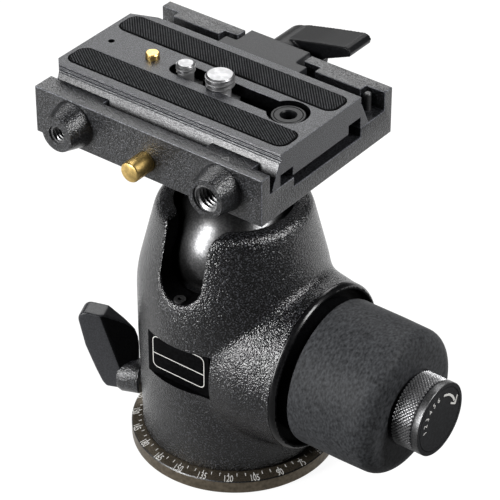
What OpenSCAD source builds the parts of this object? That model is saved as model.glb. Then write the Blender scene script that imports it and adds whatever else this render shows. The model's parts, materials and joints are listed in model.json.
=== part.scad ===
// Ball head with a drop notch, a fluid ball lock, a pan base and a sliding quick-release plate.
// Origin: mouth of the tripod thread. +Z up, +X along the lock knob, -Y towards the drop notch.

/* [Base] */
// Radius of the graduated base ring
base_r = 35.3; // [34:0.1:35.5]
// Height of the ring's upright edge
base_edge_h = 5.1; // [4.4:0.1:5.5]
// Height of the land that the housing turns on
base_h = 6; // [5.8:0.1:8]
// Radius of the tripod thread, 3/8 inch
tripod_r = 4.7625; // [4.7:0.0125:4.85]
// Depth of the tripod thread
tripod_depth = 14; // [10:0.5:18]
// Radius of the spindle's flange, let into the underside of the ring
flange_r = 22; // [20:0.5:25]
// Thickness of the spindle's flange
flange_t = 3; // [2.5:0.1:3.5]

/* [Pan bearing] */
// Radius of the spindle
spindle_r = 14; // [13:0.1:14.5]
// Length of the bearing in the housing
bearing_l = 18.8; // [17:0.1:20]
// Thickness of the sliding washer on the base
pan_washer_t = 1; // [0.8:0.1:1.4]
// Thickness of the thrust washer
thrust_t = 1; // [0.8:0.1:1.4]
// Thickness of the retaining nut
nut_t = 4.5; // [4:0.1:5]

/* [Pan lock] */
// Height of the pan lock's axis
pan_z = 15.4; // [14:0.1:16.5]
// Direction of the pan lock, degrees from the knob
pan_angle = 202.5; // [195:0.5:215]
// Radius of the brass shoe
shoe_r = 4; // [3.5:0.1:4.5]
// Length of the brass shoe
shoe_l = 7.3; // [6.5:0.1:8]
// Radius of the pan lock's screw
pan_screw_r = 3; // [2.5:0.1:3.4]
// Radius of the lever's hub
pan_hub_r = 6; // [5:0.1:6.5]
// Reach of the wing above the axis
wing_h = 25.8; // [24:0.1:28]
// Width of the wing along the axis
wing_w = 12.2; // [11:0.1:13]
// Thickness of the wing across the axis
wing_t = 7.4; // [6:0.1:9]
// Outward lean of the wing at its tip
wing_lean = 7.2; // [4:0.1:9]

/* [Housing] */
// Radius of the housing's foot
foot_r = 31.4; // [30.5:0.1:32]
// Radius of the housing's waist
waist_r = 32.2; // [32:0.1:33]
// Outer radius of the rim
rim_r = 25.4; // [25:0.1:26.5]
// Height of the ball's centre
ball_z = 78.1; // [77:0.1:80]
// Height of the rim above the ball's centre
rim_h = 16.9; // [16:0.1:17.5]
// Width of the drop notch
notch_w = 16.4; // [16:0.1:17.5]
// Height of the lock knob's axis
knob_z = 43.2; // [42:0.1:44]
// Radius of the side boss at its rim
boss_r = 29.2; // [28.5:0.1:30]
// Reach of the side boss from the pan axis
boss_x = 38; // [37:0.1:40]
// Radius of the pocket round the knob's root
pocket_r = 27.2; // [26.5:0.1:27.6]
// Depth of that pocket
pocket_d = 4; // [3:0.1:5]

/* [Ball] */
// Radius of the ball
ball_r = 22; // [21.8:0.05:22.1]
// Radius of the stem
stem_r = 7; // [6.5:0.1:7.4]
// Length from the ball's centre to the adapter
stem_l = 36.1; // [36.05:0.05:38]
// Radius of the stem's flange
stem_flange_r = 15; // [13:0.5:16]
// Thickness of the seat liner
liner_t = 1.5; // [1.2:0.1:1.7]

/* [Ball lock] */
// Radius of the ball piston's bore
chamber_r = 20; // [19.5:0.1:20.3]
// Radius of the drive piston's bore
drive_r = 8; // [7:0.1:8.4]
// Length of the drive piston
drive_l = 9; // [8.5:0.1:9.5]
// Radius of the lock screw
lock_screw_r = 6; // [5.5:0.1:6.5]
// Radius of the knob's grip
knob_r = 25.2; // [24.5:0.1:26]
// Length of the knob's grip
knob_l = 31; // [29:0.1:34]
// Gap between the boss and the grip
knob_gap = 2; // [1.5:0.1:3]
// Radius of the knob's hub under the grip
hub_r = 21.5; // [20.5:0.1:22]

/* [Friction knob] */
// Radius of the friction knob
friction_r = 12.7; // [11.5:0.1:13.5]
// Length of the friction knob
friction_l = 11.1; // [10:0.1:13]
// Radius of its shaft
friction_shaft_r = 3; // [2.5:0.1:3.4]
// Radius of its cap
friction_cap_r = 11.2; // [10:0.1:11.3]

/* [Adapter] */
// Length of the adapter
adapter_l = 90.4; // [88:0.1:94]
// Place of the adapter's middle along the knob's axis
adapter_x = -10.5; // [-12:0.1:-9]
// Reach of the adapter to the front
adapter_front = 31.2; // [30.5:0.1:33]
// Reach of the adapter to the back
adapter_back = 37.1; // [36.5:0.1:39]
// Height of the adapter's rails
adapter_h = 16.7; // [16.2:0.1:17.2]
// Height of the floor that the plate slides on
floor_h = 9.8; // [9.6:0.1:10.2]
// Height of the sunk channel in that floor
channel_h = 6.3; // [6:0.1:6.6]
// Radius of the left accessory thread, 1/4 inch
left_thread_r = 3.175; // [3.1:0.025:3.2]
// Radius of the right accessory thread, 3/8 inch
right_thread_r = 4.7625; // [4.7:0.0125:4.85]
// Distance from the adapter's middle to each accessory boss
boss_pitch = 29.6; // [28:0.1:31]
// Length of the accessory bosses
acc_l = 8; // [7:0.1:9]
// Radius of the safety button
button_r = 3.5; // [3:0.1:3.5]
// Reach of the safety button from the face
button_out = 8.3; // [7:0.1:9]
// Press of the safety button
button_travel = 2.6; // [2.5:0.05:2.7]

/* [Clamp] */
// Width of the jaw's stem
jaw_w = 24; // [22:0.1:25]
// Width of the jaw's ears
jaw_ear_w = 33; // [30:0.1:34]
// Reach of the jaw behind the adapter
jaw_out = 1.6; // [1.2:0.1:3]
// Opening of the jaw
jaw_travel = 2; // [1.6:0.05:2.2]
// Radius of the clamp screw
clamp_screw_r = 2.25; // [2:0.05:2.4]
// Radius of the clamp lever's hub
clamp_hub_r = 8.8; // [8:0.1:9.2]
// Length of the clamp lever's hub
clamp_hub_l = 15.2; // [14:0.1:16]
// Reach of the clamp lever's wing from its axis
clamp_wing_l = 25; // [22:0.1:30]

/* [Plate] */
// Width of the plate's top
plate_w = 42; // [41:0.1:42.6]
// Width across the plate's dovetail feet
plate_foot_w = 49.6; // [49:0.1:50]
// Height of the plate above the floor
plate_h = 11.5; // [11:0.1:13]
// Offset of the plate's middle to the front
plate_front = 1; // [0.5:0.1:1.2]
// Width of the camera slot
slot_w = 7.4; // [7.2:0.1:8]
// Radius of the keyhole pocket
keyhole_r = 6.9; // [6.6:0.1:7.1]
// Outer radius of the keyhole bush
bush_r = 5.7; // [5.2:0.1:6.1]
// Width of the rubber grips
grip_w = 10; // [9:0.1:10.6]
// Height of the grips above the plate
grip_proud = 0.4; // [0.2:0.1:0.8]
// Radius of the video pin
pin_r = 2.3; // [2:0.05:2.5]
// Height of the video pin above the plate
pin_out = 2; // [1.5:0.1:2.4]

/* [Camera screws] */
// Radius of the small camera screw, 1/4 inch
quarter_r = 3.175; // [3.1:0.025:3.2]
// Height of the small screw above the plate
quarter_out = 3; // [2.5:0.1:5]
// Radius of the large camera screw, 3/8 inch
three_eighths_r = 4.7625; // [4.7:0.0125:4.85]
// Height of the large screw above the plate
three_eighths_out = 4; // [3:0.1:6]

/* [Clearances] */
// Radial clearance of a running fit
run_gap = 0.05; // [0.03:0.01:0.08]
// Clearance of flat sliding faces
slide_gap = 0.1; // [0.05:0.01:0.15]
// Clearance of curved faces that turn past each other
free_gap = 0.3; // [0.2:0.05:0.4]
// Gap between the base and the housing
pan_gap = 0.2; // [0.1:0.05:0.4]
// Travel of the ball piston
seat_gap = 0.5; // [0.45:0.05:0.6]
// Room for the pan shoe
shoe_gap = 0.2; // [0.18:0.01:0.25]

/* [Hidden] */
$fn = 72;
// Extra length that takes a cut past a face
past = 1;
// Colours
coat = [0.17, 0.17, 0.18];
dark = [0.08, 0.08, 0.085];
steel = [0.72, 0.73, 0.75];
brass = [0.80, 0.62, 0.27];
bronze = [0.40, 0.36, 0.31];
rubber = [0.10, 0.10, 0.11];
white_plastic = [0.86, 0.86, 0.83];
bare = [0.62, 0.63, 0.65];

// Stack of the pan bearing
housing_z = base_h + pan_gap;
bearing_top = housing_z + bearing_l;
thrust_z = bearing_top + slide_gap;
thrust_top = thrust_z + thrust_t;
nut_top = thrust_top + nut_t;
nut_r = spindle_r + 3.2;
nut_thread_r = spindle_r - 2;
spindle_top = nut_top + 0.5;
plug_t = 3.5;
plug_z = spindle_top + 1.5;
fill_r = 2.5;
base_screw_pcd = spindle_r + flange_r;
base_screw_r = 1.5;
base_screw_head_r = 2.6;
base_screw_head_t = 1.4;
base_screws_n = 4;
washer_in_r = spindle_r + 2;
washer_out_r = foot_r - 3;

// Pan lock, as distances from the pan axis
groove_r = spindle_r - 1.5;
groove_half = shoe_r + 0.4;
shoe_tip = groove_r + shoe_gap;
shoe_back = shoe_tip + shoe_l;
pan_screw_tip = shoe_back + shoe_gap;
wing_drop = 4;
wing_root = base_r - 0.7;
wing_tip = wing_root + wing_w + wing_lean;
wing_front = wing_root + 3.6;
wing_slant = 17;
wing_strip = 8.1;
wing_edge = 1.5;
pan_screw_end = wing_root + wing_w / 2 - 1.5;

// Housing
foot_z = 12;
waist_low = 45;
taper_z = ball_z - 11;
rim_z = ball_z + rim_h;
rim_bevel = 0.8;
boss_root_r = boss_r + 1.8;
boss_root_x = boss_x - 16;
boss_lip = 4;
pocket_x = boss_x - pocket_d;
label_depth = 2.7;
label_y = waist_r - label_depth;
label_half = sqrt(waist_r * waist_r - label_y * label_y);
label_low = knob_z - 6.2;
label_high = label_low + 16.5;
label_t = 0.5;
label_edge = 0.3;
notch_screw_r = 2;
notch_screw_out = 0.8;
notch_screw_l = 6;
notch_screw_y = waist_r - 3.6;

// Ball seat
liner_in = ball_r + run_gap;
liner_out = liner_in + liner_t;
liner_high = 90 + asin((stem_r + 0.6) / liner_in);
liner_low = 150;
cup_r = liner_out + seat_gap;
cavity_r = liner_out + free_gap;
piston_r = chamber_r - run_gap;
cup_lip = 0.8;
piston_z = ball_z - cup_r - 2;
piston_top = ball_z - sqrt(pow(cup_r, 2) - pow(piston_r - cup_lip, 2));
seal_t = 2;
throat_r = ball_r + 0.6;
collar_r = ball_r + 1.4;
collar_z = ball_z + 5.9;
collar_seat_r = ball_r + free_gap;
collar_seat_h = 9;
mouth_r = collar_r - 4;

// Drive cylinder and knob, as distances along the knob's axis
drive_piston_r = drive_r - run_gap;
drive_x = chamber_r + 2.3;
drive_end = drive_x + drive_l;
screw_tip = drive_end + slide_gap;
gland_r = drive_r + 4;
gland_x = drive_end + 1;
gland_end = pocket_x + 3;
hub_x = pocket_x + 0.5;
knob_x = boss_x + knob_gap;
knob_end = knob_x + knob_l;
grip_end_t = 2;
hub_end = knob_end - grip_end_t;
hub_root_r = hub_r + 1.9;
spring_room = 9;
lock_screw_end = hub_end - spring_room;
spring_r = 7;
set_screw_r = 2;
set_screw_x = knob_x + 10;
friction_neck_r = 9;
friction_x = knob_end + slide_gap;
friction_end = friction_x + friction_l;
friction_shaft_tip = set_screw_x - 5;
friction_shaft_end = friction_x + 5;
friction_cap_t = 0.7;
friction_bead = 1;
grip_round = 5;

// Stem
stem_top = ball_z + stem_l - slide_gap;
stem_flange_t = 2.6;
stem_flare = 0.7;
stem_bore_d = 15;
bolt_r = 4.7;
bolt_head_r = 7;
bolt_head_h = 4;
bolt_l = 14;

// Adapter, from its underside up
adapter_z = ball_z + stem_l;
adapter_low_x = adapter_x - adapter_l / 2;
adapter_high_x = adapter_x + adapter_l / 2;
rail_top = adapter_z + adapter_h;
floor_z = adapter_z + floor_h;
channel_z = adapter_z + channel_h;
acc_z = adapter_z + 8.3;
acc_root_r = 8;
left_tip_r = left_thread_r + 2.8;
right_tip_r = right_thread_r + 1.8;
acc_thread_l = acc_l + 4;

// Plate, and the dovetail that it shares with the rail and the jaw
plate_y = -plate_front;
plate_z = floor_z + slide_gap;
plate_top = plate_z + plate_h;
plate_body_z = plate_z + 0.9;
foot_top = plate_z + 0.9;
flank_top = plate_top - 3;
flank_w = plate_w + 0.8;
undercut_in = 14.5;
undercut_out = plate_w / 2 - 0.1;
undercut_top = plate_z + 4.1;
plate_chamfer = [9, 3.5];
plate_corner = 2.5;
groove_w = 0.7;
function flank(z) = (plate_foot_w + (flank_w - plate_foot_w) * (z - foot_top) / (flank_top - foot_top)) / 2;
channel_front = plate_y - undercut_in + 0.7;
channel_back = plate_y + plate_foot_w / 2 - 3.6;

// Rails
lip_front = plate_y - flank(rail_top) - slide_gap;
rail_foot = plate_y - plate_foot_w / 2 - slide_gap;
rail_notch_y = rail_foot - 0.3;
rail_notch = [-21.2, 19.9];
rail_end_notch = 6.7;
back_wall_y = adapter_back - 4.1;
back_lip_y = back_wall_y - 3.1;
back_lip_t = 4;
back_lips = [[-38.2, -18.9], [20, 37.9]];
post_r = 1.2;
post_x = adapter_high_x - 5.1;
post_y = back_wall_y - 2.2;
post_h = 6;

// Safety button
button_z = adapter_z + 6;
button_tip = -adapter_front - button_out;
button_head_end = -adapter_front + 1.4;
button_stem_r = 2.2;
spring_l = 4.6;
button_bore_end = button_head_end + spring_l + slide_gap;
catch_r = 1.2;
catch_y = plate_y - undercut_out + catch_r + 0.7;
button_stem_end = catch_y + catch_r + 0.7;
button_stem_bore = button_stem_end + button_travel + slide_gap;
catch_top = undercut_top - 0.4;
stop_r = 1.4;
stop_y = plate_y - undercut_out + stop_r + 0.1;
stop_pitch = 28;

// Clamp
clamp_z = adapter_z + 7;
jaw_back = adapter_back + jaw_out;
jaw_stem_y = back_wall_y - 2.5;
jaw_ear_y = back_wall_y - jaw_travel - free_gap;
jaw_low = adapter_z + 2.8;
jaw_room = 1.4;
clamp_screw_tip = channel_back + 1;
clamp_hub_y = jaw_back + slide_gap;
clamp_screw_end = clamp_hub_y + clamp_hub_l / 2;
clamp_wing_y = clamp_hub_y + 3.4;
jaw_spring_r = 2;
jaw_spring_wall = 0.9;
jaw_spring_l = 3;
jaw_spring_pitch = 7.5;
jaw_spring_z = adapter_z + 5.4;

// Camera screws and slot, along the plate
three_eighths_x = -4.7;
quarter_x = -18.5;
slot_low = quarter_x - 2;
keyhole_x = adapter_high_x - 12.7;
keyhole_d = 3.6;
lip_t = 4.1;
lower_slot_w = 13.4;
lower_slot_end = keyhole_x - keyhole_r - lower_slot_w / 2;
lip_z = plate_top - lip_t;
screw_washer_t = 1.9;
screw_head_t = 4;
washer_top = lip_z - slide_gap;
head_top = washer_top - screw_washer_t - slide_gap;
large_washer_r = lower_slot_w / 2 - free_gap;
small_washer_r = large_washer_r - 1;
large_neck_r = slot_w / 2 - 0.2;
small_neck_r = quarter_r - 0.55;
bush_hole_r = 2.4;
bush_h = 2.7;
thread_gap = 0.3;

// Grips and video pin, along the plate
grip_d = 1.2;
grip_gap = 0.3;
grip_mid = keyhole_r + 0.5 + grip_gap + grip_w / 2;
grip_end_gap = 1.8;
grip_corner = 3.5;
pin_x = -32;
pin_travel = pin_out;
pin_flange_r = pin_r + 0.7;
pin_shoulder_z = plate_top - 3.6;
pin_flange_t = 1.3;
pin_plug_t = 1.5;
hole_x = -49.1;
hole_r = 1.1;

// Radius of the housing at a height
function body_r(z) =
    z < foot_z ? foot_r
    : z < waist_low ? foot_r + (waist_r - foot_r) * (z - foot_z) / (waist_low - foot_z)
    : z < taper_z ? waist_r
    : waist_r + (rim_r - waist_r) * (z - taper_z) / (rim_z - taper_z);

// Ring or tube standing on the XY plane
module ring(outer, inner, height) {
    difference() {
        cylinder(r = outer, h = height);
        translate([0, 0, -past]) cylinder(r = inner, h = height + 2 * past);
    }
}

// Places children that stand along +Z so that they run along the knob's axis from x
module on_knob(x) {
    translate([x, 0, knob_z]) rotate([0, 90, 0]) children();
}

// Places children that stand along +Z so that they run outwards along the pan lock's axis
module on_pan(rho) {
    rotate([0, 0, pan_angle]) translate([rho, 0, pan_z]) rotate([0, 90, 0]) children();
}

// Places children that stand along +Z so that they run towards the back
module to_back(x, y, z) {
    translate([x, y, z]) rotate([-90, 0, 0]) children();
}

// Hexagon socket cut down from the top of a screw head
module socket(across, depth, top) {
    translate([0, 0, top - depth]) cylinder(d = across / cos(30), h = depth + past, $fn = 6);
}

// Flat bar with round corners, centred
module rounded(length, width, corner) {
    square([length - 2 * corner, width], center = true);
    square([length, width - 2 * corner], center = true);
    for (sx = [-1, 1], sy = [-1, 1])
        translate([sx * (length / 2 - corner), sy * (width / 2 - corner)]) circle(r = corner);
}

// Flat slot with round ends between two places on X
module slot_shape(low, high, width) {
    translate([low, -width / 2]) square([high - low, width]);
    for (x = [low, high]) translate([x, 0]) circle(d = width);
}

// Base

module base_ring() {
    color(bronze) difference() {
        rotate_extrude()
            polygon([[0, 0], [base_r, 0], [base_r, base_edge_h], [foot_r, base_h], [0, base_h]]);
        translate([0, 0, -past]) cylinder(r = spindle_r + run_gap, h = base_h + 2 * past);
        translate([0, 0, -past]) cylinder(r = flange_r + run_gap, h = flange_t + past);
        at_base_screws() translate([0, 0, -past]) cylinder(r = base_screw_r, h = base_h - 1 + past);
    }
}

// Repeats children at the flange screws
module at_base_screws() {
    for (i = [0 : base_screws_n - 1])
        rotate([0, 0, 360 / base_screws_n * (i + 0.5)]) translate([base_screw_pcd / 2, 0, 0]) children();
}

module pan_spindle() {
    color(steel) difference() {
        union() {
            cylinder(r = flange_r, h = flange_t);
            cylinder(r = spindle_r, h = thrust_z);
            cylinder(r = nut_thread_r, h = spindle_top);
        }
        translate([0, 0, pan_z - groove_half]) ring(spindle_r + past, groove_r, 2 * groove_half);
        translate([0, 0, -past]) cylinder(r = tripod_r, h = tripod_depth + past);
        at_base_screws() translate([0, 0, -past])
            cylinder(r = base_screw_r + run_gap, h = flange_t + 2 * past);
        at_base_screws() translate([0, 0, -past])
            cylinder(r = base_screw_head_r + run_gap, h = base_screw_head_t + past);
    }
}

module base_screws() {
    color(steel) at_base_screws() difference() {
        union() {
            cylinder(r = base_screw_head_r, h = base_screw_head_t);
            cylinder(r = base_screw_r - run_gap, h = base_h - 1.2);
        }
        translate([0, 0, -past]) cylinder(d = 2, h = past + 1, $fn = 6);
    }
}

module pan_washer() {
    color(white_plastic) translate([0, 0, base_h]) ring(washer_out_r, washer_in_r, pan_washer_t);
}

module thrust_washer() {
    color(white_plastic) translate([0, 0, thrust_z]) ring(nut_r, nut_thread_r + run_gap, thrust_t);
}

module retaining_nut() {
    color(steel) translate([0, 0, thrust_top]) difference() {
        ring(nut_r, nut_thread_r + run_gap, nut_t);
        for (a = [0 : 90 : 270]) rotate([0, 0, a]) translate([nut_r, 0, nut_t / 2])
            cube([3, 3, nut_t + past], center = true);
    }
}

// Housing

module housing() {
    color(coat) difference() {
        union() {
            rotate_extrude() polygon([
                [0, housing_z], [foot_r, housing_z], [foot_r, foot_z], [waist_r, waist_low],
                [waist_r, taper_z - 4],
                [body_r(taper_z) - 0.3, taper_z], [body_r(taper_z + 4) - 0.1, taper_z + 4],
                [rim_r, rim_z - rim_bevel], [rim_r - rim_bevel, rim_z], [0, rim_z]]);
            on_knob(0) rotate_extrude() polygon([
                [0, 0], [boss_root_r, 0], [boss_root_r, boss_root_x], [boss_r, boss_x - boss_lip],
                [boss_r, boss_x - rim_bevel], [boss_r - rim_bevel, boss_x], [0, boss_x]]);
        }
        // Pan bearing
        translate([0, 0, housing_z - past]) cylinder(r = spindle_r + run_gap, h = bearing_l + 2 * past);
        translate([0, 0, housing_z - past]) ring(washer_out_r + free_gap, washer_in_r - free_gap,
            pan_washer_t - pan_gap + slide_gap + past);
        translate([0, 0, bearing_top]) cylinder(r = nut_r + free_gap, h = plug_z - bearing_top + past);
        // Fluid chamber, ball cavity and collar seat
        translate([0, 0, plug_z]) cylinder(r = chamber_r, h = ball_z - plug_z);
        translate([0, 0, ball_z]) sphere(r = cavity_r);
        translate([0, 0, ball_z]) cylinder(r = throat_r, h = collar_z - ball_z + past);
        translate([0, 0, collar_z]) cylinder(r = collar_r + run_gap, h = rim_z - collar_z + past);
        drop_notch();
        // Drive cylinder, gland and knob pocket
        on_knob(chamber_r / 2) cylinder(r = drive_r, h = gland_x - chamber_r / 2 + past);
        on_knob(gland_x) cylinder(r = gland_r + run_gap, h = pocket_x - gland_x + past);
        on_knob(pocket_x) cylinder(r = pocket_r, h = pocket_d + past);
        // Pan lock
        on_pan(spindle_r - past) cylinder(r = shoe_r + run_gap, h = pan_screw_tip - spindle_r + past);
        on_pan(spindle_r) cylinder(r = pan_screw_r + run_gap, h = waist_r);
        // Label pocket and notch screw
        translate([-label_half, -label_y - waist_r, label_low])
            cube([2 * label_half, waist_r, label_high - label_low]);
        at_notch_screw(notch_screw_l) cylinder(r = notch_screw_r - 0.6, h = notch_screw_l + past);
    }
}

// Space that the stem drops into, open at the top
module drop_notch() {
    translate([0, 0, ball_z]) {
        to_back(0, -2 * waist_r, 0) cylinder(d = notch_w, h = 2 * waist_r);
        translate([-notch_w / 2, -2 * waist_r, 0]) cube([notch_w, 2 * waist_r, rim_h + past]);
    }
}

// Places children at the foot of the notch, sunk by a length
module at_notch_screw(sunk) {
    translate([0, -notch_screw_y, ball_z - notch_w / 2 - sunk]) children();
}

module collar_ring() {
    color(bare) difference() {
        translate([0, 0, collar_z]) cylinder(r = collar_r, h = rim_z - collar_z);
        translate([0, 0, ball_z]) sphere(r = collar_seat_r);
        translate([0, 0, ball_z + collar_seat_h])
            cylinder(r1 = sqrt(pow(collar_seat_r, 2) - pow(collar_seat_h, 2)), r2 = mouth_r,
                h = rim_h - collar_seat_h + 0.01);
        drop_notch();
    }
}

module chamber_plug() {
    color(steel) translate([0, 0, plug_z]) ring(chamber_r - run_gap, fill_r, plug_t);
}

module fill_screw() {
    color(steel) difference() {
        union() {
            translate([0, 0, plug_z]) cylinder(r = fill_r - run_gap, h = plug_t);
            translate([0, 0, plug_z + plug_t]) cylinder(r = fill_r + 1.5, h = 1.5);
        }
        socket(2.5, 2, plug_z + plug_t + 1.5);
    }
}

module gland_nut() {
    color(steel) on_knob(gland_x) ring(gland_r, lock_screw_r + run_gap, gland_end - gland_x);
}

module notch_screw() {
    color(steel) difference() {
        union() {
            at_notch_screw(notch_screw_l) cylinder(r = notch_screw_r - 0.65, h = notch_screw_l);
            intersection() {
                at_notch_screw(0) translate([0, 0, -notch_screw_out])
                    cylinder(r = notch_screw_r, h = 2 * notch_screw_out);
                to_back(0, -2 * waist_r, ball_z) cylinder(r = notch_w / 2 - run_gap, h = 2 * waist_r);
            }
        }
        at_notch_screw(0) socket(1.5, 1, notch_screw_out);
    }
}

module label_plate() {
    color(dark) translate([-label_half + label_edge, -label_y - label_t, label_low + label_edge])
        cube([2 * (label_half - label_edge), label_t, label_high - label_low - 2 * label_edge]);
}

// Pan lock

module pan_lever() {
    hub_x0 = body_r(pan_z + pan_hub_r) + 0.4;
    color(coat) difference() {
        union() {
            on_pan(hub_x0) cylinder(r = pan_hub_r, h = wing_root - hub_x0 + wing_w / 2);
            rotate([0, 0, pan_angle]) translate([0, 0, pan_z]) difference() {
                translate([0, wing_t / 2, 0]) rotate([90, 0, 0]) linear_extrude(wing_t) polygon([
                    [wing_root, -wing_drop + 0.5], [wing_root + 1, -wing_drop],
                    [wing_root + wing_w - 2, -wing_drop], [wing_root + wing_w - 0.6, -wing_drop + 1.8],
                    [wing_root + wing_w + 1.6, 2.9], [wing_tip - 0.3 * wing_lean, 0.47 * wing_h],
                    [wing_tip - 0.1, 0.83 * wing_h], [wing_tip, wing_h - 1.5], [wing_tip - 1.2, wing_h],
                    [wing_root + wing_w - 1.7, wing_h - 0.4], [wing_root + 4.8, wing_h - 5],
                    [wing_root, wing_h - 9.8]]);
                wing_hollow();
            }
        }
        on_pan(hub_x0 - past) cylinder(r = pan_screw_r, h = pan_screw_end - hub_x0 + past);
    }
}

// What is cut from the wing's inner front edge, so that its inner face slants
module wing_hollow() {
    slope = wing_strip / (wing_t - wing_edge);
    low = -wing_t / 2 + wing_edge - 2;
    high = wing_t / 2 + 1;
    inner = -wing_strip - 2 * slope;
    translate([wing_front, 0, 0]) rotate([0, wing_slant, 0]) translate([0, 0, -4 * wing_drop])
        linear_extrude(wing_h + 8 * wing_drop)
            polygon([[inner, low], [slope, high], [inner, high]]);
}

module pan_screw() {
    color(steel) on_pan(pan_screw_tip)
        cylinder(r = pan_screw_r - run_gap / 2, h = pan_screw_end - pan_screw_tip);
}

module pan_shoe() {
    color(brass) on_pan(shoe_tip) cylinder(r = shoe_r, h = shoe_l);
}

// Ball lock

module ball_piston() {
    color(steel) difference() {
        translate([0, 0, piston_z]) cylinder(r = piston_r, h = piston_top - piston_z);
        translate([0, 0, ball_z]) sphere(r = cup_r);
        translate([0, 0, piston_z + seal_t]) ring(piston_r + past, piston_r - seal_t, seal_t);
    }
}

module piston_seal() {
    color(rubber) translate([0, 0, piston_z + seal_t]) ring(piston_r, piston_r - seal_t, seal_t);
}

module drive_piston() {
    color(steel) difference() {
        on_knob(drive_x) cylinder(r = drive_piston_r, h = drive_l);
        on_knob(drive_x + seal_t) ring(drive_piston_r + past, drive_piston_r - seal_t, seal_t);
    }
}

module drive_seal() {
    color(rubber) on_knob(drive_x + seal_t) ring(drive_piston_r, drive_piston_r - seal_t, seal_t);
}

module lock_screw() {
    color(steel) difference() {
        on_knob(screw_tip) cylinder(r = lock_screw_r, h = lock_screw_end - screw_tip);
        on_knob(friction_shaft_tip - 1) cylinder(r = friction_shaft_r + run_gap, h = knob_l);
    }
}

module knob_hub() {
    color(dark) difference() {
        union() {
            on_knob(hub_x) cylinder(r = hub_root_r, h = knob_x - hub_x - slide_gap);
            on_knob(hub_x) cylinder(r = hub_r - run_gap, h = hub_end - hub_x);
        }
        on_knob(hub_x - past) cylinder(r = gland_r + free_gap, h = gland_end - hub_x + 0.5 + past);
        on_knob(hub_x) cylinder(r = lock_screw_r + run_gap, h = knob_l);
        on_knob(lock_screw_end) cylinder(r = spring_r + 2 * free_gap, h = spring_room + past);
        at_set_screws() cylinder(r = set_screw_r, h = hub_r + past);
    }
}

// Places children at the hub's two radial set screws
module at_set_screws() {
    for (a = [-90, 90]) translate([set_screw_x, 0, knob_z]) rotate([a, 0, 0]) children();
}

module knob_set_screws() {
    color(steel) at_set_screws() translate([0, 0, lock_screw_r + run_gap]) difference() {
        cylinder(r = set_screw_r - run_gap, h = hub_r - lock_screw_r - 4);
        socket(2, 3, hub_r - lock_screw_r - 4);
    }
}

module knob_grip() {
    color(rubber) on_knob(knob_x) difference() {
        rotate_extrude() {
            square([knob_r - grip_round, knob_l]);
            square([knob_r, knob_l - grip_round]);
            translate([knob_r - grip_round, knob_l - grip_round]) intersection() {
                circle(r = grip_round);
                square(grip_round);
            }
        }
        translate([0, 0, -past]) cylinder(r = hub_r, h = hub_end - knob_x + past);
        cylinder(r = friction_neck_r + free_gap, h = knob_l + past);
    }
}

module friction_spring() {
    color(steel) on_knob(lock_screw_end + slide_gap)
        ring(spring_r, friction_shaft_r + 1, spring_room - 2 * slide_gap);
}

// Friction knob

module friction_knob() {
    color(coat) difference() {
        union() {
            on_knob(hub_end + slide_gap) cylinder(r = friction_neck_r, h = friction_x - hub_end);
            on_knob(friction_x) rotate_extrude() polygon([
                [0, 0], [friction_r - friction_bead, 0], [friction_r, friction_bead],
                [friction_r, friction_l - friction_bead], [friction_r - friction_bead, friction_l],
                [0, friction_l]]);
        }
        on_knob(hub_end) cylinder(r = friction_shaft_r + run_gap / 2, h = friction_shaft_end - hub_end);
        on_knob(friction_end - friction_cap_t)
            cylinder(r = friction_cap_r + run_gap, h = friction_cap_t + past);
    }
}

module friction_shaft() {
    color(steel) on_knob(friction_shaft_tip)
        cylinder(r = friction_shaft_r, h = friction_shaft_end - friction_shaft_tip);
}

module friction_cap() {
    color(dark) on_knob(friction_end - friction_cap_t) cylinder(r = friction_cap_r, h = friction_cap_t);
}

// Ball and its liner

module seat_liner() {
    color(white_plastic) translate([0, 0, ball_z]) rotate_extrude() intersection() {
        difference() {
            circle(r = liner_out);
            circle(r = liner_in);
        }
        polygon([[0, 0], for (a = [liner_high, liner_low]) 2 * ball_r * [sin(a), cos(a)]]);
    }
}

module ball() {
    flange_low = stem_top - stem_flange_t;
    color(bare) difference() {
        union() {
            translate([0, 0, ball_z]) sphere(r = ball_r);
            translate([0, 0, ball_z]) cylinder(r = stem_r, h = stem_top - ball_z);
            translate([0, 0, flange_low - stem_flare])
                cylinder(r1 = stem_r, r2 = stem_r + stem_flare, h = stem_flare);
            translate([0, 0, flange_low]) cylinder(r = stem_flange_r, h = stem_flange_t);
        }
        translate([0, 0, stem_top - stem_bore_d]) cylinder(r = bolt_r + run_gap, h = stem_bore_d + past);
    }
}

// Adapter

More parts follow.
